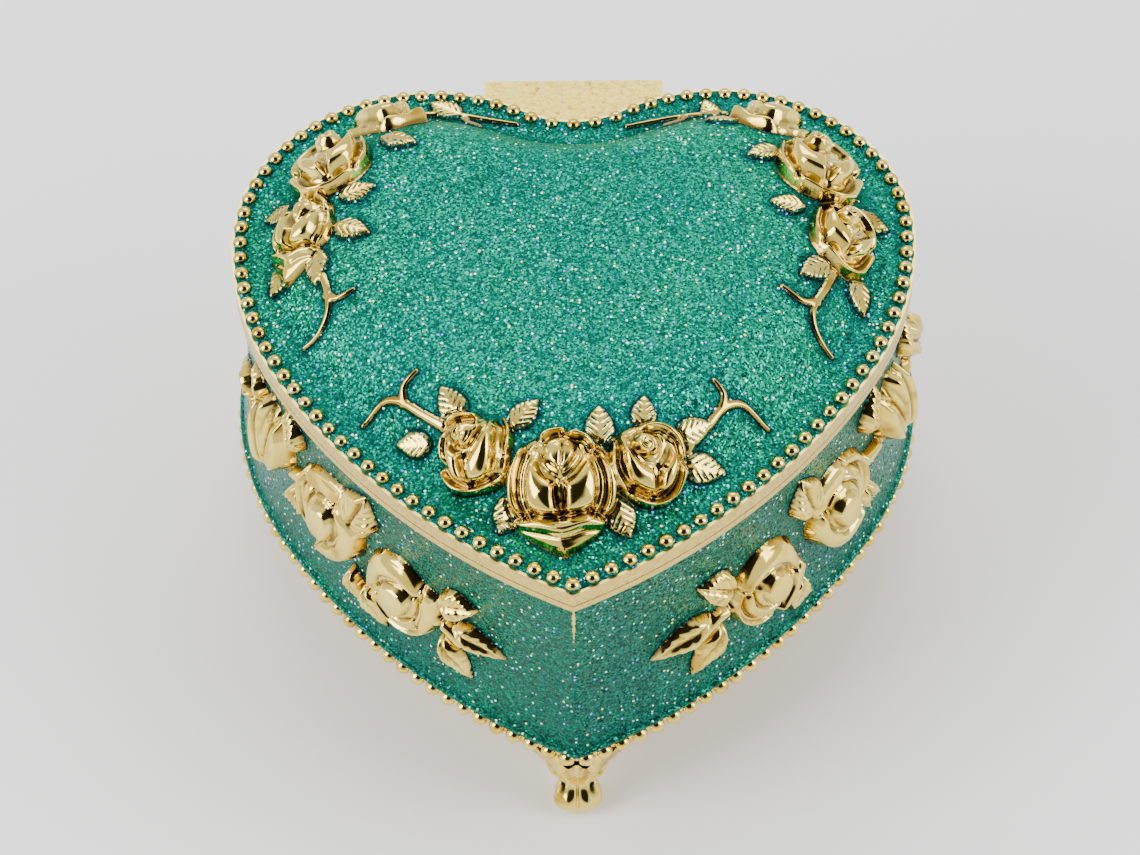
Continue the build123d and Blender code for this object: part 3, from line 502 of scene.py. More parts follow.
# ---------------------------------------------------------------- beads
def bead_row(name, growth, z, count, first, body, node, radius, cord, bare):
    """A row of cast pearls, against a cord if there is one; bare gold above a height."""
    rings, around = 14, 20
    latitude = np.linspace(-0.5, 0.5, rings) * math.pi
    turn = np.arange(around) * 2 * math.pi / around
    along = (np.arange(count + (0 if first else 1)) + first) / count * HALF_LENGTH
    half, _ = half_outline(growth, along)
    places = [(x, y) for x, y in half] + [(-x, y) for x, y in half if abs(x) > BEAD / 2]
    chance = np.random.default_rng(5)
    points, faces = [], []
    for x, y in places:
        size = radius * chance.uniform(0.96, 1.04)
        wide, tall = np.cos(latitude), np.sin(latitude)
        ring = np.stack([np.outer(wide, np.cos(turn)), np.outer(wide, np.sin(turn)),
                         np.outer(tall, np.ones(around)) * chance.uniform(0.94, 1.0)], -1)
        ring = ring * size + (x, y, z + chance.uniform(-0.03, 0.03))
        faces.append(strip_faces(rings, around) + len(points) * rings * around)
        points.append(ring.reshape(-1, 3))
    if cord:
        inset, thickness = cord
        sides, count_round = 12, 720
        turn = np.arange(sides) * 2 * math.pi / sides
        place, normal = outline(growth - inset, count_round)
        ring = place[None] + np.cos(turn)[:, None, None] * normal[None] * thickness
        level = np.broadcast_to(z + np.sin(turn)[:, None] * thickness, (sides, count_round))
        tube = np.concatenate([ring, level[..., None]], -1)
        tube = np.r_[tube, tube[:1]].reshape(-1, 3)
        faces.append(strip_faces(sides + 1, count_round)[:, ::-1] + sum(len(part) for part in points))
        points.append(tube)
    points = np.concatenate(points)
    obj = piece(name, points, np.concatenate(faces), gilded, body, node)
    paint(obj, "gild", 0.45 + (points[:, 2] - bare) / 0.9)


LID_BARE = FLANGE_TOP + ENAMEL + 0.3
bead_row("case_beads", 1.12, BEAD_Z - 0.3, 54, 0.5, "case", "base_bead_border", 1.12, (0.7, 0.85), 0.0)
bead_row("lid_beads", -1.17, FLANGE_TOP + 0.2, 51, 0, "lid", "lid_bead_border", 0.98, None, LID_BARE)


# ---------------------------------------------------------------- relief drawing
def smooth_loop(points, finer=6):
    """A closed curve through points, rounded between them; a point given twice stays a corner."""
    p = np.array(points, float)
    before, after, later = np.roll(p, 1, 0), np.roll(p, -1, 0), np.roll(p, -2, 0)
    t = (np.arange(finer) / finer)[None, :, None]
    a, b, c, d = (q[:, None, :] for q in (before, p, after, later))
    curve = b + 0.5 * t * (c - a) + t**2 * (a - 2.5 * b + 2 * c - 0.5 * d)
    curve += t**3 * (1.5 * (b - c) + 0.5 * (d - a))
    return curve.reshape(-1, 2)


def smooth_line(points, finer=10):
    """An open curve through points."""
    p = np.array(points, float)
    whole = smooth_loop(np.r_[p[:1], p, p[-1:]], finer)
    return whole[finer:finer * len(p) + 1]


def edge_distance(u, v, curve, closed):
    """Distance to a curve, positive inside a closed one, and how far along the curve the nearest place is."""
    start = curve if closed else curve[:-1]
    end = np.roll(curve, -1, 0) if closed else curve[1:]
    nearest, along = np.full(u.shape, 1e9), np.zeros(u.shape)
    inside = np.zeros(u.shape, bool)
    for index, ((ax, ay), (bx, by)) in enumerate(zip(start, end)):
        length = (bx - ax) ** 2 + (by - ay) ** 2
        if length < 1e-12:
            continue
        share = np.clip(((u - ax) * (bx - ax) + (v - ay) * (by - ay)) / length, 0, 1)
        gap = np.hypot(u - ax - share * (bx - ax), v - ay - share * (by - ay))
        along = np.where(gap < nearest, (index + share) / len(start), along)
        nearest = np.minimum(nearest, gap)
        if closed and ay != by:
            crosses = ((ay > v) != (by > v)) & (u < ax + (v - ay) * (bx - ax) / (by - ay))
            inside ^= crosses
    return (np.where(inside, nearest, -nearest) if closed else nearest), along


def softened(field, passes):
    """A height field blurred a little, as casting and plating do."""
    soft = field.copy()
    for _ in range(passes):
        soft[1:-1] = (soft[:-2] + 2 * soft[1:-1] + soft[2:]) / 4
        soft[:, 1:-1] = (soft[:, :-2] + 2 * soft[:, 1:-1] + soft[:, 2:]) / 4
    return soft


SEEN, SUNK = 0.03, 0.15  # the least height that gets a mesh, and how deep its edge is sunk


class Relief:
    """A height field over a flat patch, built up from petals, leaves and stems."""

    def __init__(self, low, high, step, slope=None):
        self.x = np.arange(low[0], high[0], step)
        self.y = np.arange(low[1], high[1], step)
        self.grid = np.stack(np.meshgrid(self.x, self.y), -1)
        self.height = np.zeros(self.grid.shape[:2])
        self.gild = np.zeros(self.grid.shape[:2])
        self.slope = slope

    def place(self, x, y, turn=0.0, size=1.0, flip=1, raise_by=1.0, tilt=0.0):
        """Sets where the next shapes go. Their axes lie in the surface, so a slope doesn't stretch them."""
        self.centre, self.raise_by = np.array([x, y], float), raise_by * size
        gradient = self.slope(np.array([[x, y]]))[0] if self.slope else np.zeros(2)
        steep = np.linalg.norm(gradient)
        metric = np.eye(2)
        if steep > 1e-6:
            uphill = gradient / steep
            metric += (math.hypot(1, steep) - 1) * np.outer(uphill, uphill)
        c, s = math.cos(math.radians(turn)), math.sin(math.radians(turn))
        self.to_own = np.diag([flip / size, 1 / size]) @ np.array([[c, s], [-s, c]]) @ metric
        self.tilt = (tilt, np.linalg.inv(self.to_own)[1] * tilt / size)

    def facing(self, u, v):
        """What turning a flower to face upward adds to its height, and the roundness of the whole flower."""
        tilt, (across, along) = self.tilt
        return 2.6 * tilt - across * u - along * v + 0.7 - 0.028 * np.minimum(u**2 + v**2, 36)

    def window(self, curve, margin):
        """The part of the grid round a curve, and its places in the shape's own axes."""
        corners = (np.linalg.inv(self.to_own) @ curve.T).T + self.centre
        x0, x1 = np.searchsorted(self.x, [corners[:, 0].min() - margin, corners[:, 0].max() + margin])
        y0, y1 = np.searchsorted(self.y, [corners[:, 1].min() - margin, corners[:, 1].max() + margin])
        part = (slice(y0, y1), slice(x0, x1))
        own = (self.grid[part] - self.centre) @ self.to_own.T
        return part, own[..., 0], own[..., 1]

    def lay(self, part, inside, height, gild, groove):
        """Lays a shape over what is there, with a crease cut just outside it."""
        below = self.height[part]
        crease = groove * bell(np.minimum(inside, 0), 0.24) * (inside < 0)
        below = np.where((below > 0.25) & (height + 0.8 > below), np.maximum(below - crease, 0.2), below)
        top = np.minimum(height, 4 * inside + 0.1) * self.raise_by
        covers = (top > below) & (inside > -0.02)
        self.height[part] = np.where(covers, top, below)
        self.gild[part] = np.where(covers, gild, self.gild[part])

    def petal(self, points, base, bulge, reach, rim, lean=(0, 0), fold=(0, 0), *, groove):
        """A petal: a cushion with a turned-up lip, leaning, and folded along a line of its own."""
        curve = smooth_loop(points)
        part, u, v = self.window(curve, 0.6)
        inside, _ = edge_distance(u, v, curve, True)
        depth = np.clip(inside, 0, None)
        cushion = bulge * np.sqrt(np.clip(1 - (1 - np.minimum(depth / (1.35 * reach), 1)) ** 2, 0, 1))
        cushion = cushion + 0.14 * depth
        lip = rim * bell(depth - 0.2, 0.2)
        middle = curve.mean(0)
        height = base + cushion + lip + lean[0] * (u - middle[0]) + lean[1] * (v - middle[1])
        height = height - fold[1] * np.sqrt((u - fold[0]) ** 2 + 0.02) + self.facing(u, v)
        self.lay(part, inside, height, 1.0, groove)

    def bud(self, x, y, radius, base, turns, start, squash=1.0):
        """The rolled heart of a rose: a hollow disc with a spiral lip."""
        turn = np.linspace(0, turns * 2 * math.pi, int(26 * turns))
        reach = radius * (1 - turn / turn[-1] * 0.86)
        angle = turn + math.radians(start)
        curve = np.c_[x + reach * np.cos(angle), y + reach * np.sin(angle) * squash]
        rim = np.linspace(0, 2 * math.pi, 32, endpoint=False)
        disc = np.c_[x + radius * 1.12 * np.cos(rim), y + radius * 1.12 * np.sin(rim) * squash]
        part, u, v = self.window(disc, 0.6)
        inside, _ = edge_distance(u, v, disc, True)
        gap, along = edge_distance(u, v, curve, False)
        height = base - 0.5 + (0.85 + 0.1 * along) * bell(gap, 0.16 * radius) + 0.1 * along
        self.lay(part, inside, height + self.facing(u, v), 1.0, 0.3)

    def leaf(self, x, y, length, angle, width, height, serrated=1.0, gild=0.5, deep=0.0):
        """A leaf with a midrib, side veins between puffed cells, and a toothed edge."""
        self.place(x, y, angle)
        half = length / 2
        t = np.linspace(0, 1, 26)
        spread = width * half * np.sin(math.pi * t**0.8) ** 0.85
        teeth = 1 + 0.09 * serrated * np.abs(np.sin(t * math.pi * 7))
        upper = np.c_[-half + length * t, spread * teeth]
        curve = np.r_[upper, (upper * (1, -1))[1:-1][::-1]]
        part, u, v = self.window(curve, 0.6)
        inside, _ = edge_distance(u, v, curve, True)
        depth = np.clip(inside, 0, None)
        puff = np.sqrt(np.clip(1 - (1 - np.minimum(depth / (0.3 * half), 1)) ** 2, 0, 1))
        veins = np.abs(np.sin((u + half - np.abs(v) * 1.1) / length * math.pi * 6))
        midrib = bell(v, 0.05 * length)
        shape = height * (0.35 + 0.5 * puff) + (0.22 + 0.3 * deep) * veins * serrated * (1 - midrib)
        shape = shape + (0.16 - 0.75 * deep) * midrib + deep * 0.35 * np.sin((u / length + 0.5) * 2 * math.pi)
        shape = shape + deep * 0.22 * v * np.sin((u / length + 0.3) * 2 * math.pi)
        worn = gild + 0.35 * (veins - 0.5) * serrated + 0.3 * midrib - 0.5 * bell(depth, 0.16)
        self.lay(part, inside, shape, worn, 0.2)

    def stem(self, points, radius, height, gild):
        """A tendril: a half-round ridge that thins to its tip."""
        self.place(0, 0)
        curve = smooth_line(points)
        part, u, v = self.window(curve, 1.2)
        gap, along = edge_distance(u, v, curve, False)
        width = radius * (1 - 0.45 * along)
        inside = width - gap
        bow = np.sqrt(np.clip(1 - (gap / width) ** 2, 0, 1))
        self.lay(part, inside, height * bow + 0.05, gild + 0.35 * (bow - 0.75), 0.0)

    def mesh(self, name, lift, body, node, passes):
        """Turns the raised part into a mesh, softened as by casting, its edge sunk a little."""
        self.height = softened(self.height, passes)
        # How far each place lies below its blurred surroundings, used for painted shade in the hollows.
        hollow = np.clip((softened(self.height, 14) - self.height) / 0.16, 0, 1)
        for _ in range(4):
            wider = self.gild.copy()
            for step, axis in ((1, 0), (-1, 0), (1, 1), (-1, 1)):
                wider = np.maximum(wider, np.roll(self.gild, step, axis))
            self.gild = np.where(self.gild < 0.02, wider, self.gild)
        raised = self.height > SEEN
        row, column = np.nonzero(raised[:-1, :-1] | raised[1:, :-1] | raised[:-1, 1:] | raised[1:, 1:])
        wide = self.height.shape[1]
        here = row * wide + column
        quads = np.stack([here, here + 1, here + wide + 1, here + wide], -1)
        used, faces = np.unique(quads, return_inverse=True)
        height = self.height.reshape(-1)[used]
        height = np.where(height > SEEN, height, -SUNK)
        low = np.clip(height, 0, None)
        points = lift(self.grid.reshape(-1, 2)[used], height)
        obj = piece(name, points, faces.reshape(-1, 4), gilded, body, node)
        paint(obj, "gild", self.gild.reshape(-1)[used] - 0.9 * bell(low, 0.11))
        # Darker in hollows and at the relief's foot: pooled enamel on the enamel parts, painted shade on the
        # gold.
        paint(obj, "pool_and_painted_shade", np.maximum(hollow.reshape(-1)[used], bell(low, 0.45)))
        return obj


# Flowers: each petal is its outline, base height, bulge, how far in the bulge is full and lip, then lean and
# fold where it has them
CUP_ROSE = [
    ([(-5.6, -3.6), (-6.2, 0), (-4.8, 3.4), (-2, 5.2), (1.5, 5.6), (4.6, 4.2), (6.2, 0.8), (5.6, -3.6),
      (0, -4.9)], 0.3, 0.8, 2, 0),
    ([(-5.8, -4.2), (-5.8, -4.2), (-3, -3.8), (0, -4.5), (3, -3.8), (5.3, -4.4), (5.3, -4.4), (4.6, -6),
      (2.5, -7.9), (0.2, -9.8), (0.2, -9.8), (-2.5, -8), (-5.2, -5.8)],
     1.7, 0.7, 0.5, 0.1, (0, 0.2), (0.2, 0.24)),
    ([(-5.5, -4.3), (-2.8, -4.1), (0.1, -4.9), (3, -4.1), (5, -4.5), (4.7, -5.5), (2.4, -6.1), (0.2, -6.9),
      (-2.4, -6.2), (-5, -5.4)], 2.1, 0.8, 0.7, 0, (0, 0), (0.2, 0.12)),
    ([(-4.7, 3.9), (-5.6, 2.6), (-6.5, 0.2), (-6.3, -2.2), (-5, -3.9), (-4.5, -3.4), (-5.1, -1.5), (-5, 1),
      (-4.3, 3.2)], 1, 1, 0.7, 0.15),
    ([(-3.3, 3.8), (-4.2, 2.4), (-4.9, 0.4), (-4.9, -2), (-4.2, -3.8), (-3.3, -3.8), (-3.9, -1.6),
      (-3.8, 0.6), (-3, 2.6)], 1.4, 1.1, 0.6, 0.15),
    ([(4.7, 3.2), (5.8, 1.8), (6.6, -0.2), (6.3, -2.6), (5.2, -4), (4.5, -3.6), (5, -1.6), (4.9, 0.8),
      (4.2, 2.4)], 1, 1, 0.7, 0.15),
    ([(3.5, 3), (4.5, 1.6), (5.1, -0.2), (5, -2.2), (4.3, -3.8), (3.4, -3.8), (4, -1.6), (3.9, 0.4),
      (3.1, 2.2)], 1.4, 1.1, 0.6, 0.15),
    ([(-2.7, 4.3), (-2.4, 5.5), (-0.9, 6.1), (0.7, 6.1), (0.6, 5.3), (-1, 4.8), (-2, 4)], 1, 0.8, 0.5, 0.2),
    ([(0.3, 4.9), (1.6, 5.7), (3.4, 5), (4.5, 3.4), (3.7, 2.6), (2.5, 3.9), (1, 4.3)], 1.5, 0.9, 0.6, 0.2),
    ([(-2.1, 1.2), (-2.2, 3), (-1.1, 4.2), (0.8, 4.4), (2.1, 3.3), (2.2, 1.6), (1, 0), (0, -0.8), (-1, 0)],
     1.7, 0.8, 0.6, 0.45, (0, 0.06)),
    ([(-2.9, 3.1), (-2.9, 3.1), (-3.9, 1.4), (-4.3, -0.8), (-3.9, -3.2), (-2.2, -4.5), (0, -4.6), (0.1, -2.6),
      (0, -1), (-1.4, 0.2), (-2.3, 1.6)], 1.8, 1.5, 1.7, 0.3, (0, -0.05)),
    ([(3.2, 2.5), (3.2, 2.5), (3.9, 1.2), (4.4, -0.8), (4, -3.2), (2.4, -4.4), (0.3, -4.6), (-0.1, -2.8),
      (0, -1), (1.4, 0.1), (2.4, 1.4)], 1.9, 1.5, 1.7, 0.3, (0, -0.05)),
    ([(-0.9, 0.9), (-1.2, 2.2), (-0.5, 3.3), (0.1, 2.2), (-0.1, 0.6)], 3.3, 0.6, 0.4, 0.1),
    ([(0.3, 0.5), (0.4, 2.2), (0.9, 3.2), (1.5, 2.2), (1.1, 1)], 3.2, 0.6, 0.4, 0.1),
]
BUD_ROSE = [
    ([(-4, 2.6), (-4.2, -1.6), (-2.4, -3.9), (1.2, -4), (3.6, -2.6), (4.4, 1), (3.4, 3.6), (0, 4.6),
      (-2.8, 4)], 0.3, 0.9, 1.6, 0),
    ([(-4.9, -1), (-4.9, -1), (-4.4, -3), (-3.3, -4.4), (-0.4, -4.6), (2.4, -4.3), (3.6, -2.9), (3.6, -2.9),
      (2, -2.9), (-0.6, -3.4), (-3, -2.4), (-4, -0.8)], 1.3, 1, 0.7, 0.2),
    ([(3.9, 5), (3.9, 5), (5, 2.6), (4.5, 0), (3.6, -0.6), (3.9, 1.2), (4.1, 2.7)], 0.9, 0.9, 0.5, 0.15),
    ([(-4, 3.1), (-4.6, 1.4), (-4.4, -0.2), (-3.6, -0.4), (-3.7, 1.4), (-3.4, 2.8)], 0.9, 0.8, 0.5, 0.15),
    ([(-3.3, 4.2), (-2.6, 5.2), (-0.8, 5.4), (0.9, 5), (0.6, 4.2), (-1.2, 4.3), (-2.8, 3.7)],
     0.9, 0.8, 0.5, 0.25),
    ([(-2.9, 2.8), (-2.2, 4), (-0.4, 4.1), (1.3, 3.7), (2, 3.9), (1.6, 2), (0.2, 0.4), (-1, 0.2),
      (-2.2, 1.4)], 1.4, 0.9, 0.7, 0.3),
    ([(-3.2, 2.9), (-3.2, 2.9), (-3.4, 0.4), (-3, -2.2), (-1.4, -3.5), (-0.4, -3.3), (-0.6, -1), (-0.7, 0.4),
      (-1.8, 1.4), (-2.6, 2.5)], 1.6, 1.3, 1.2, 0.25),
    ([(3.2, 4.4), (3.2, 4.4), (3.5, 1.6), (3.2, -1.4), (2.2, -3.2), (0.2, -3.6), (-0.9, -2.8), (-0.8, -0.8),
      (0.6, 1.2), (1.6, 2.6), (2.2, 3.8)], 1.8, 1.4, 1.3, 0.35),
]
OPEN_ROSE = [
    ([(-4.4, 2.4), (-4.5, -1.6), (-2.4, -4.2), (1.4, -4.4), (4.2, -3), (4.8, 1), (3.6, 3.8), (0, 4.8),
      (-3, 4.2)], 0.3, 0.9, 1.6, 0),
    ([(-1.6, 4.4), (0.6, 5.2), (2.8, 4.6), (4.2, 2.8), (4.4, 0.8), (3.2, 0.6), (2.4, 2.6), (0.8, 3.6),
      (-1.2, 3.5)], 1.2, 1.1, 0.9, 0.3),
    ([(3.4, 0.8), (5.2, 0), (5.2, 0), (4.4, -3.5), (4.4, -3.5), (2.4, -5), (-0.8, -5), (-3, -4), (-2, -3.4),
      (1, -4), (2.9, -2.9)], 1.1, 1.1, 0.7, 0.25),
    ([(-4.6, 2.8), (-4.6, 2.8), (-5, 0.4), (-4.4, -2.6), (-2.6, -4.2), (-2.2, -3.2), (-3.6, -1), (-3.9, 1.6)],
     1.2, 0.9, 0.6, 0.2),
    ([(2.2, 3.2), (3.2, 1.8), (3.6, -0.4), (2.8, -2.7), (0.9, -3.7), (0.3, -1.8), (0.7, -0.2), (1.5, 1.2)],
     1.6, 1.4, 1.1, 0.3),
    ([(-3.6, 3.2), (-4.1, 0.9), (-3.7, -1.4), (-2.4, -3.2), (0.6, -3.8), (1, -2.4), (0.5, -0.6), (-1, -0.1),
      (-2.2, 1), (-3, 2.4)], 1.7, 1.4, 1.2, 0.35),
]
WALL_ROSE = [
    ([(-5.2, 0), (-3.7, 3.7), (0, 5.2), (3.7, 3.7), (5.2, 0), (3.7, -3.7), (0, -5.2), (-3.7, -3.7)],
     0.3, 1.2, 2.4, 0),
    ([(3.2, 4.2), (5.8, 3.8), (5.8, 3.8), (6.2, 0.6), (5.4, -2.4), (3.4, -3.6), (3, -1.6), (3.4, 0.6),
      (2.8, 2.6)], 1, 1.1, 0.9, 0.3),
    ([(-5.6, -0.5), (-5.4, 3), (-3.2, 5.4), (0, 6), (2.6, 4.8), (3.6, 3), (2.2, 2.2), (0.2, 2.6), (-1.6, 1.6),
      (-2.6, 0), (-3.4, -1.6), (-4.6, -2)], 1.1, 1.5, 1.7, 0.25),
    ([(-5, -1.6), (-4, -4.2), (-1, -5.8), (2.4, -5.4), (4.8, -3.4), (3.8, -3), (1.6, -4.2), (-1, -4.3),
      (-3.2, -3), (-4, -1.2)], 1, 1, 0.6, 0.3),
    ([(-3.8, -0.6), (-2.8, -2.8), (-0.4, -4), (2, -3.6), (3.4, -2), (2.6, -1.6), (0.8, -2.6), (-1, -2.6),
      (-2.4, -1.4), (-3, 0)], 1.7, 1, 0.6, 0.35),
    ([(-2.9, 1.4), (-2.6, -0.8), (-0.8, -2.2), (1.4, -2), (2.7, -0.6), (2.9, 1.4), (2, 2.8), (0, 3.3),
      (-2, 2.8)], 2.2, 0.9, 0.8, 0.45),
]
TULIP = [
    ([(0, -5.2), (2.6, -3.6), (3.4, 0), (2.6, 3.6), (0.6, 5.4), (-1.6, 5), (-3.2, 2.6), (-3.4, -0.8),
      (-2.4, -4)], 0.6, 1.8, 2.2, 0),
    ([(-2.6, 4.4), (-2.6, 4.4), (-3.9, 1.4), (-3.5, -2.6), (-1.4, -5), (0.2, -5.2), (-0.6, -2.4), (-1, 0.8),
      (-1.6, 3)], 1.5, 1.3, 1, 0.3),
    ([(3, 4.8), (3, 4.8), (4, 1), (3.3, -3), (1.2, -5.3), (-0.2, -5), (0.4, -2), (1.2, 1), (2, 3.4)],
     1.8, 1.4, 1.1, 0.35),
    ([(-0.8, 5.6), (0.8, 5.8), (1.4, 3), (0.8, 0), (0, -2.4), (-0.8, 0.2), (-1.2, 3)], 2.7, 0.8, 0.6, 0.1),
]


def draw_rose(relief, kind, x, y, turn, size, flip, raise_by, tilt=0.0):
    """A flower of one of five kinds, with its rolled heart if it has one."""
    relief.place(x, y, turn, size, flip, raise_by, tilt)
    groove = 0.7 if kind in (WALL_ROSE, TULIP) else 0.35
    for shape in kind:
        relief.petal(*shape, groove=groove)
    if kind is BUD_ROSE:
        relief.bud(-0.9, 2.3, 1.45, 3.0, 1.6, 200)
    if kind is OPEN_ROSE:
        relief.bud(-0.9, 1.7, 1.8, 3.1, 1.8, 160, 0.92)
    if kind is WALL_ROSE:
        relief.bud(0.0, 0.5, 2.3, 2.7, 1.9, 120)


def dome_slope(points):
    return lid_surface(points)[1]


def on_dome(flat, height):
    """Places at a height above the lid's enamel, measured square to it."""
    level, slope = lid_surface(flat)
    length = np.sqrt(1 + (slope**2).sum(1))
    return np.c_[flat - slope * (height / length)[:, None], level + height / length]


SPRAY_Y = LOBE_Y - 4.5  # where the sprays' own y is zero
LEAF_GROWTH, LEAF_WIDTH, LEAF_HEIGHT = 1.25, 0.62, 0.55
TENDRIL, TENDRIL_HEIGHT, TENDRIL_GILD = 0.56, 0.42, 0.62
SPRAY_RAISE, SPRAY_STEP = 0.82, 0.1
lid_raised = []


def make_spray(name, node, low, high, roses, leaves, lines):
    """Leaves, tendrils and roses on the dome."""
    shift = np.array([0, SPRAY_Y])
    relief = Relief(low + shift, high + shift, SPRAY_STEP, dome_slope)
    for x, y, length, angle in leaves:
        relief.leaf(x, y + SPRAY_Y, LEAF_GROWTH * length, angle, LEAF_WIDTH, LEAF_HEIGHT)
    for line in lines:
        relief.stem([(x, y + SPRAY_Y) for x, y in line], TENDRIL, TENDRIL_HEIGHT, TENDRIL_GILD)
    for kind, x, y, turn, size, flip in roses:
        draw_rose(relief, kind, x, y + SPRAY_Y, turn, size, flip, SPRAY_RAISE)
    relief.mesh(name, on_dome, "lid", node, 3)
    lid_raised.extend(relief.grid[relief.height > SEEN][::7].tolist())


make_spray("front_roses", "lid_front_spray", (-30, -49), (30, -18),
           [(BUD_ROSE, -11.5, -34.4, 0, 1.04, 1), (OPEN_ROSE, 8.9, -36.0, 0, 1.02, 1),
            (CUP_ROSE, -1.3, -38.4, 0, 1.0, 1)],
           [(-14.6, -28.2, 4.6, 118), (-19.3, -31.0, 4.4, 172), (-5.7, -30.6, 4.2, 48), (3.3, -32.4, 4.6, 92),
            (8.6, -30.4, 4.0, 88), (14.5, -31.4, 4.4, 30), (16.0, -34.8, 5.0, -6), (-7.9, -41.4, 4.8, 245),
            (5.9, -42.2, 4.8, -62)],
           [[(-15.4, -30.6), (-18.2, -28.4), (-21.3, -25.9), (-23.6, -25.4), (-25.8, -27.0)],
            [(-20.6, -26.4), (-20.6, -24.6), (-19.0, -23.2)],
            [(13.8, -33.4), (16.4, -30.4), (18.5, -27.8), (21.0, -26.8), (23.9, -28.2)],
            [(18.2, -28.0), (18.4, -26.4), (17.2, -25.0)]])
make_spray("left_roses", "lid_left_spray", (-42, -18), (-5, 31),
           [(BUD_ROSE, -24.2, 21.2, 40, 0.98, -1), (OPEN_ROSE, -30.8, 11.2, 20, 1.12, -1),
            (CUP_ROSE, -34.0, 1.8, -20, 0.8, 1)],
           [(-16.8, 25.6, 4.2, 150), (-22.4, 14.5, 4.2, -20), (-27.3, 5.4, 4.0, 20), (-37.9, 6.8, 3.6, 190),
            (-37.2, -4.2, 4.4, 235), (-32.0, -5.4, 4.4, 265), (-27.8, -0.9, 4.2, -20)],
           [[(-33.6, -3.4), (-31.2, -7.4), (-30.4, -11.4), (-31.4, -13.8), (-33.6, -14.8)],
            [(-30.7, -9.9), (-29.2, -10.9), (-27.2, -10.3)],
            [(-19.4, 24.9), (-15.4, 24.8), (-11.5, 23.9), (-7.4, 23.0)],
            [(-14.6, 24.6), (-13.6, 22.6), (-12.2, 21.2)]])
make_spray("right_roses", "lid_right_spray", (5, -18), (42, 31),
           [(BUD_ROSE, 25.4, 20.2, -40, 0.98, 1), (OPEN_ROSE, 31.2, 9.8, -10, 1.16, 1),
            (OPEN_ROSE, 33.8, -0.8, -20, 1.02, 1)],
           [(18.0, 25.0, 3.6, 110), (19.6, 19.4, 4.0, 190), (24.4, 11.6, 3.8, 200), (27.2, 2.6, 3.8, 170),
            (38.4, 4.8, 4.2, -20), (30.2, -7.0, 4.2, 215), (36.0, -7.8, 4.8, -70)],
           [[(33.0, -5.6), (31.6, -9.0), (29.9, -12.4), (30.2, -15.0), (32.2, -17.0)],
            [(30.4, -11.4), (28.4, -12.0), (26.0, -10.6)],
            [(20.0, 24.6), (15.0, 24.2), (10.9, 23.4), (7.0, 22.4)],
            [(14.6, 24.0), (13.6, 22.0), (12.0, 20.5)]])
make_lid_enamel(lid_raised)


# ---------------------------------------------------------------- garlands on the wall
def on_wall(side):
    """Places on one side's wall from the distance along the outline and the height, raised square to it."""
    def lift(flat, height):
        place, normal = half_outline(0.0, flat[:, 0])
        out = place + normal * (wall_growth(flat[:, 1]) + height)[:, None]
        return np.c_[side * out[:, 0], out[:, 1], flat[:, 1]]
    return lift


GARLAND_LOW, GARLAND_HIGH, GARLAND_STEP = (4, 15.5), (82, 43.4), 0.11
BRANCH, BRANCH_HEIGHT, WALL_LEAF_HEIGHT = 1.1, 1.3, 1.7
GARLAND_RAISE, GARLAND_TILT = 0.7, 0.2


def make_garland(name, node, side, roses, leaves, stems):
    """Roses and leaves along a branch that climbs the wall away from the heart's point."""
    relief = Relief(GARLAND_LOW, GARLAND_HIGH, GARLAND_STEP)
    for line in stems:
        relief.stem(line, BRANCH, BRANCH_HEIGHT, 1.0)
    for x, y, length, angle, width, teeth in leaves:
        relief.leaf(x, y, length, angle, width, WALL_LEAF_HEIGHT, teeth, 1.0, 1.0)
    for kind, x, y, turn, size, flip in roses:
        draw_rose(relief, kind, x, y, turn, size, flip, GARLAND_RAISE, GARLAND_TILT)
    obj = relief.mesh(name, on_wall(side), "case", node, 2)
    if side < 0:
        obj.data.flip_normals()


make_garland("left_garland", "base_left_garland", -1,
             [(TULIP, 52.6, 33.8, -8, 1.08, 1), (WALL_ROSE, 39.8, 31.4, 80, 1.12, 1),
              (WALL_ROSE, 25.8, 27.8, 0, 1.04, -1)],
             [(16.8, 33.0, 6.0, 168, 0.72, 0.5), (13.7, 27.9, 8.4, 196, 0.42, 0.3),
              (17.0, 22.4, 7.6, 230, 0.46, 0.3), (33.6, 37.6, 7.4, 110, 0.9, 0.5),
              (30.6, 21.2, 7.0, 236, 0.5, 0.4), (34.4, 21.8, 6.0, 254, 0.5, 0.4),
              (47.0, 26.2, 6.4, 275, 0.62, 0.5), (47.6, 39.6, 6.2, 60, 0.7, 0.5),
              (57.4, 38.8, 5.6, 40, 0.6, 0.5), (58.0, 28.4, 5.8, -50, 0.6, 0.5),
              (63.6, 33.0, 6.6, 10, 0.6, 0.5)],
             [[(16.5, 26), (19, 27.4), (23, 27.6)], [(45, 32), (49, 30.4), (53, 31)],
              [(54, 31), (59, 30.6), (63, 32)]])
make_garland("right_garland", "base_right_garland", 1,
             [(TULIP, 58.0, 32.6, 6, 1.1, 1), (WALL_ROSE, 43.4, 29.8, 115, 1.12, 1),
              (WALL_ROSE, 28.8, 27.0, -45, 1.06, 1), (TULIP, 71.0, 31.4, 30, 0.8, 1)],
             [(20.8, 33.0, 6.4, 150, 0.74, 0.5), (15.2, 27.0, 9.8, 195, 0.42, 0.3),
              (18.9, 22.0, 8.6, 232, 0.46, 0.3), (36.8, 36.6, 7.2, 100, 0.8, 0.5),
              (34.4, 19.6, 6.6, 256, 0.5, 0.4), (51.6, 38.6, 7.0, 60, 0.56, 0.5),
              (50.4, 22.8, 6.2, 285, 0.6, 0.5), (64.6, 38.4, 5.8, 70, 0.6, 0.5),
              (64.8, 25.6, 5.6, -60, 0.6, 0.5)],
             [[(18, 25.6), (21, 27.0), (26, 27)], [(49, 30), (53, 29.4), (58, 30)],
              [(60, 30), (66, 29.6), (72, 30)]])


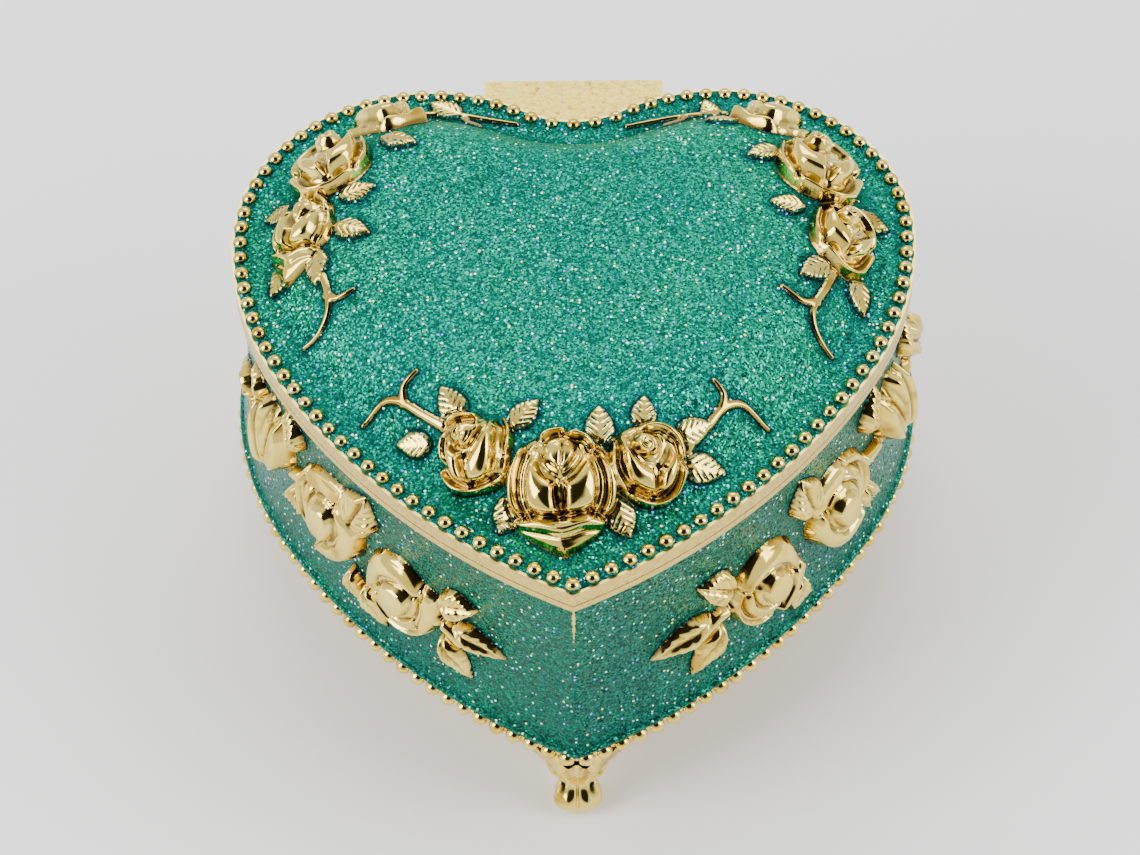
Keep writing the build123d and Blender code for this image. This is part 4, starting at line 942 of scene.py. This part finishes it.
# ---------------------------------------------------------------- feet
# At each height, the last being the foot's top: how far out its middle is, half its depth, half its width
FOOT_LEVELS = [0.0, 0.5, 1.6, 3.0, 4.6, 6.2, 8.0, 10.0]
FOOT_SHAPES = [(2.7, 2.75, 2.8, 2.4, 1.7, 1.7, 2.3, 3.0, 3.1), (1.3, 1.9, 2.3, 2.15, 1.6, 1.6, 1.9, 2.2, 2.3),
               (1.7, 2.5, 3.1, 2.9, 2.4, 4.0, 6.6, 8.0, 8.2)]
# Volutes and hollows on both sides: angle from the front, height, angular width, tallness, rise
FOOT_SCROLLS = [(0.42, 2.9, 0.24, 0.9, 0.45), (1.05, 3.4, 0.30, 1.9, 0.45), (0.62, 6.2, 0.22, 0.6, 0.75),
                (0.30, 8.9, 0.16, 1.0, 0.45), (0.95, 7.6, 0.2, 1.5, 0.35), (0.75, 4.7, 0.16, 0.5, -0.3)]


def make_foot(name, node, x, y, facing, sweep):
    """A cast foot: acanthus strands swept back under the beads, two volutes at the ankle, a rounded toe."""
    outward = np.array([math.cos(math.radians(facing)), math.sin(math.radians(facing)), 0.0])
    across = np.array([-outward[1], outward[0], 0.0])
    top = box_mm(node)[1][2]
    levels = np.linspace(0, top, 90)
    turn = np.linspace(0, 2 * math.pi, 160, endpoint=False)
    shapes = [smooth_line(np.c_[[*FOOT_LEVELS, top], values], 12).T for values in FOOT_SHAPES]
    reach, depth, width = (np.interp(levels, at, value)[:, None] for at, value in shapes)
    side = (turn[None] + math.pi) % (2 * math.pi) - math.pi
    z = levels[:, None]
    upper = np.clip((z - 4.4) / 2.6, 0, 1)
    strands = np.abs(np.cos(side * 5.0 + 0.9 * np.sin(z * 0.8) * np.sign(side)))
    relief = 1.25 * upper * (strands**0.5 - 0.7)
    relief -= 0.4 * bell(side, 0.09) * np.clip(z / 2, 0, 1)
    for angle, height, wide, tall, rise in FOOT_SCROLLS:
        for sign in (1, -1):
            relief += rise * bell(side - sign * angle, wide) * bell(z - height, tall)
    sideways = (width + relief) * np.sin(turn)
    swept = sweep * upper * (np.sqrt(sideways**2 + 1.5) - 1.2)
    swept += 0.75 * upper * np.abs(np.cos(1.15 * np.abs(sideways) + 0.35 * (z - 5.0) + 0.6)) ** 3
    forward = reach + (depth + relief) * np.cos(turn) - swept
    place = forward[..., None] * outward + sideways[..., None] * across + np.array([x, y, 0.0])
    place[..., 2] = z
    sole = [*(outward[:2] * FOOT_SHAPES[0][0] + (x, y)), 0.0]
    points = np.r_[place.reshape(-1, 3), [sole]]
    faces = strip_faces(len(levels), len(turn)).tolist() + cap_faces(0, len(turn), len(points) - 1, True)
    piece(name, points, faces, polished, "case", node)


POINT_Y = half_outline(0.0, [0.0])[0][0, 1]
FRONT_INSET, REAR_TURN, REAR_REACH = 3.2, 58, LOBE_RADIUS - 3.4
REAR_X = LOBE_X + REAR_REACH * math.cos(math.radians(REAR_TURN))
REAR_Y = LOBE_Y + REAR_REACH * math.sin(math.radians(REAR_TURN))
make_foot("front_acanthus_foot", "front_foot", 0.0, POINT_Y + FRONT_INSET, -90, 0.72)
make_foot("rear_right_acanthus_foot", "rear_right_foot", REAR_X, REAR_Y, REAR_TURN, 0.15)
make_foot("rear_left_acanthus_foot", "rear_left_foot", -REAR_X, REAR_Y, 180 - REAR_TURN, 0.15)


# ---------------------------------------------------------------- velvet linings
BORE_GROWTH, POCKET_GROWTH = -3.3, -5.3
PLUNGER_X, PLUNGER_Y, PLUNGER_WAY = LOBE_X + 10.2, LOBE_Y + 16.15, 1.6
ROUND = 360


def heart_shell(rings):
    """A closed form from (growth, height) rings that start and end at the heart's middle."""
    points = []
    for growth, z in rings:
        kept = max(growth, -18.0)
        ring = soften_point(outline(kept, ROUND)[0], 0.5)
        share = 1 - (kept - growth) / 22.0
        points.append(np.c_[MIDDLE + (ring - MIDDLE) * share, np.full(ROUND, z)])
    last, total = (len(points) - 1) * ROUND, len(points) * ROUND
    faces = strip_faces(len(points), ROUND).tolist()
    faces += cap_faces(0, ROUND, total, True) + cap_faces(last, ROUND, total + 1)
    return np.r_[np.concatenate(points), [points[0].mean(0)], [points[-1].mean(0)]], faces


def velvet_form(name, points, faces, body, node):
    obj = piece(name, points, faces, lining, body, node)
    return obj


def sagging(points, amount):
    """A slow unevenness of hand-laid padding, never above the plain form."""
    x, y = points[:, 0], points[:, 1]
    wave = np.sin(0.21 * x + 0.9) * np.sin(0.17 * y - 0.4)
    wave += 0.5 * np.sin(0.47 * x - 0.3 * y) + 0.3 * np.sin(0.8 * y + 0.6 * x)
    return amount * (wave - 1.8) / 3.6


def drill(obj, x, y, radius):
    """Cuts a clear round way down through a form."""
    bm = bmesh.new()
    size = radius * MM
    bmesh.ops.create_cone(bm, cap_ends=True, segments=24, radius1=size, radius2=size, depth=0.05)
    mesh = bpy.data.meshes.new("way")
    bm.to_mesh(mesh)
    bm.free()
    way = in_scene("way", mesh)
    way.location = (x * MM, y * MM, 0.04)
    cut = obj.modifiers.new("way", "BOOLEAN")
    cut.object, cut.operation, cut.solver = way, "DIFFERENCE", "EXACT"
    graph = bpy.context.evaluated_depsgraph_get()
    made = bpy.data.meshes.new_from_object(obj.evaluated_get(graph))
    obj.modifiers.clear()
    obj.data = made
    bpy.data.objects.remove(way)


def make_tray_velvet():
    """The tray's lining: a rolled top edge, walls, and a crowned floor pad with a seam round its edge."""
    low, high = box_mm("tray_lining")
    floor = low[2] + 1.2
    outer, pocket = BORE_GROWTH - 0.17, POCKET_GROWTH
    rings = [(growth, low[2]) for growth in (-34, -28, -22, -16, -10, -6, outer - 0.1)]
    rings += [(outer, z) for z in np.linspace(low[2] + 0.2, high[2] - 0.9, 14)]
    centre, half = (outer + pocket) / 2, (outer - pocket) / 2
    for turn in np.linspace(0.15, math.pi - 0.15, 12):
        rings.append((centre + half * math.cos(turn), high[2] - half + half * math.sin(turn)))
    inner_top = high[2] - half - 0.3
    for z in np.linspace(inner_top, floor + 0.9, 16):
        share = (inner_top - z) / (inner_top - floor)
        rings.append((pocket + 0.28 * math.sin(math.pi * share), z))
    seam = [(-0.02, 0.3), (-0.15, -0.35), (-0.35, -0.62), (-0.6, -0.5)]
    rings += [(pocket + inward, floor + rise) for inward, rise in seam]
    for growth in np.linspace(pocket - 0.9, -38, 44):
        edge = (pocket - 0.6 - growth) / 3.2
        rings.append((growth, floor - 0.5 * math.exp(-edge) - 0.02))
    points, faces = heart_shell(rings)
    pad = (np.abs(points[:, 2] - floor) < 0.35) & (points[:, 2] < floor)
    points[:, 2] += np.where(pad, sagging(points, 0.3), 0)
    obj = velvet_form("tray_velvet", points, faces, "case", "tray_lining")
    drill(obj, PLUNGER_X, PLUNGER_Y, PLUNGER_WAY)


# The lid lining's outer face: growth and height above the flange, from its edge to the crown
LID_PAD = [(-8.85, 2.5), (-9.6, 3.2), (-11.0, 4.35), (-13.5, 5.8), (-16.5, 6.7), (-20.0, 7.05), (-24, 7.06),
           (-30, 7.06)]


def make_lid_velvet():
    """The lid's lining: a crowned pad pressed up into the dome."""
    low, high = box_mm("lid_lining")
    skin = 1.45
    rings = [(growth - skin, min(FLANGE_TOP + rise - skin, high[2] - 0.01)) for growth, rise in LID_PAD[::-1]]
    rings.append((LID_PAD[0][0] - skin - 0.1, low[2] + 0.02))
    growths, rises = np.array(LID_PAD).T
    loose = (len(rings) + 9) * ROUND
    for growth in np.r_[np.linspace(-9.0, -13.0, 14), np.linspace(-13.6, -30.0, 24)]:
        inward = (-9.0 - growth) / 2.2
        thick = 0.5 + 0.6 * (1 - math.exp(-inward))
        rise = np.interp(-growth, -growths, rises)
        rings.append((growth - skin - thick * 0.7, max(FLANGE_TOP + rise - skin - thick, low[2] + 0.05)))
    points, faces = heart_shell(rings)
    points[:, 2] -= np.where(np.arange(len(points)) > loose, sagging(points, 0.3), 0)
    velvet_form("lid_velvet", points, faces, "lid", "lid_lining")


make_tray_velvet()
make_lid_velvet()


# ---------------------------------------------------------------- studio
CAMERA_AZIMUTH, CAMERA_ELEVATION, CAMERA_ROLL = (math.radians(angle) for angle in (1.196, 52.38, -1.4))
CAMERA_DISTANCE, CAMERA_LENS, CAMERA_SENSOR = 0.4255, 109.3, 36.0
CAMERA_TARGET = Vector((-0.37, SPRAY_Y - 27.12, FLANGE_TOP)) * MM
LIGHT_AIM = Vector((0, 0, 0.03))
DARK_PATCH, WORLD_STRENGTH = (0.0, -0.58, 0.81), 1.15


def aimed(direction):
    return direction.to_track_quat("-Z", "Y")


def make_camera():
    """The camera of the reference view: a long lens, high in front and a little to the right."""
    level, rise = math.cos(CAMERA_ELEVATION), math.sin(CAMERA_ELEVATION)
    back = Vector((math.sin(CAMERA_AZIMUTH) * level, -math.cos(CAMERA_AZIMUTH) * level, rise))
    data = bpy.data.cameras.new("camera")
    data.lens, data.sensor_width = CAMERA_LENS, CAMERA_SENSOR
    data.clip_start, data.clip_end = 0.01, 10
    camera = in_scene("camera", data)
    camera.rotation_mode = "QUATERNION"
    camera.location = CAMERA_TARGET + back * CAMERA_DISTANCE
    camera.rotation_quaternion = Quaternion(back, CAMERA_ROLL) @ aimed(-back)
    bpy.context.scene.camera = camera


def make_light(name, place, size, power):
    data = bpy.data.lights.new(name, "AREA")
    data.shape, data.size, data.size_y, data.energy = "RECTANGLE", *size, power
    light = in_scene(name, data)
    light.location = place
    light.rotation_mode = "QUATERNION"
    light.rotation_quaternion = aimed(LIGHT_AIM - Vector(place))


def make_floor():
    bm = bmesh.new()
    bmesh.ops.create_grid(bm, x_segments=8, y_segments=8, size=1.5)
    mesh = bpy.data.meshes.new("floor")
    bm.to_mesh(mesh)
    bm.free()
    floor = in_scene("floor", mesh)
    floor.location.z = -0.0002
    look = Look("pale_floor")
    tones = look.ramp(look.noise(8.0, 2.0), [(0.3, (0.93, 0.93, 0.93)), (0.7, (0.97, 0.97, 0.97))])
    mesh.materials.append(look.shade({"Base Color": tones, "Roughness": 0.7}))


def make_world():
    """A soft pale surround with a dark patch high in front, for the gold to reflect."""
    look = Look("studio", "worlds")
    where = look.node("TexCoord").outputs["Generated"]
    toward = look.node("VectorMath", {0: where, 1: DARK_PATCH}, operation="DOT_PRODUCT").outputs["Value"]
    background = look.tree.nodes["Background"].inputs
    look.connect(background["Color"], look.spread(toward, (0.70, 0.88), (1.0, 0.02), "SMOOTHSTEP"))
    look.connect(background["Strength"], WORLD_STRENGTH)
    bpy.context.scene.world = look.made


make_camera()
make_floor()
make_light("left_softbox", (-0.42, -0.16, 0.34), (0.30, 0.40), 3.2)
make_light("right_softbox", (0.46, -0.10, 0.32), (0.28, 0.40), 2.4)
make_light("back_softbox", (0.0, 0.42, 0.50), (0.5, 0.25), 2.2)
make_world()
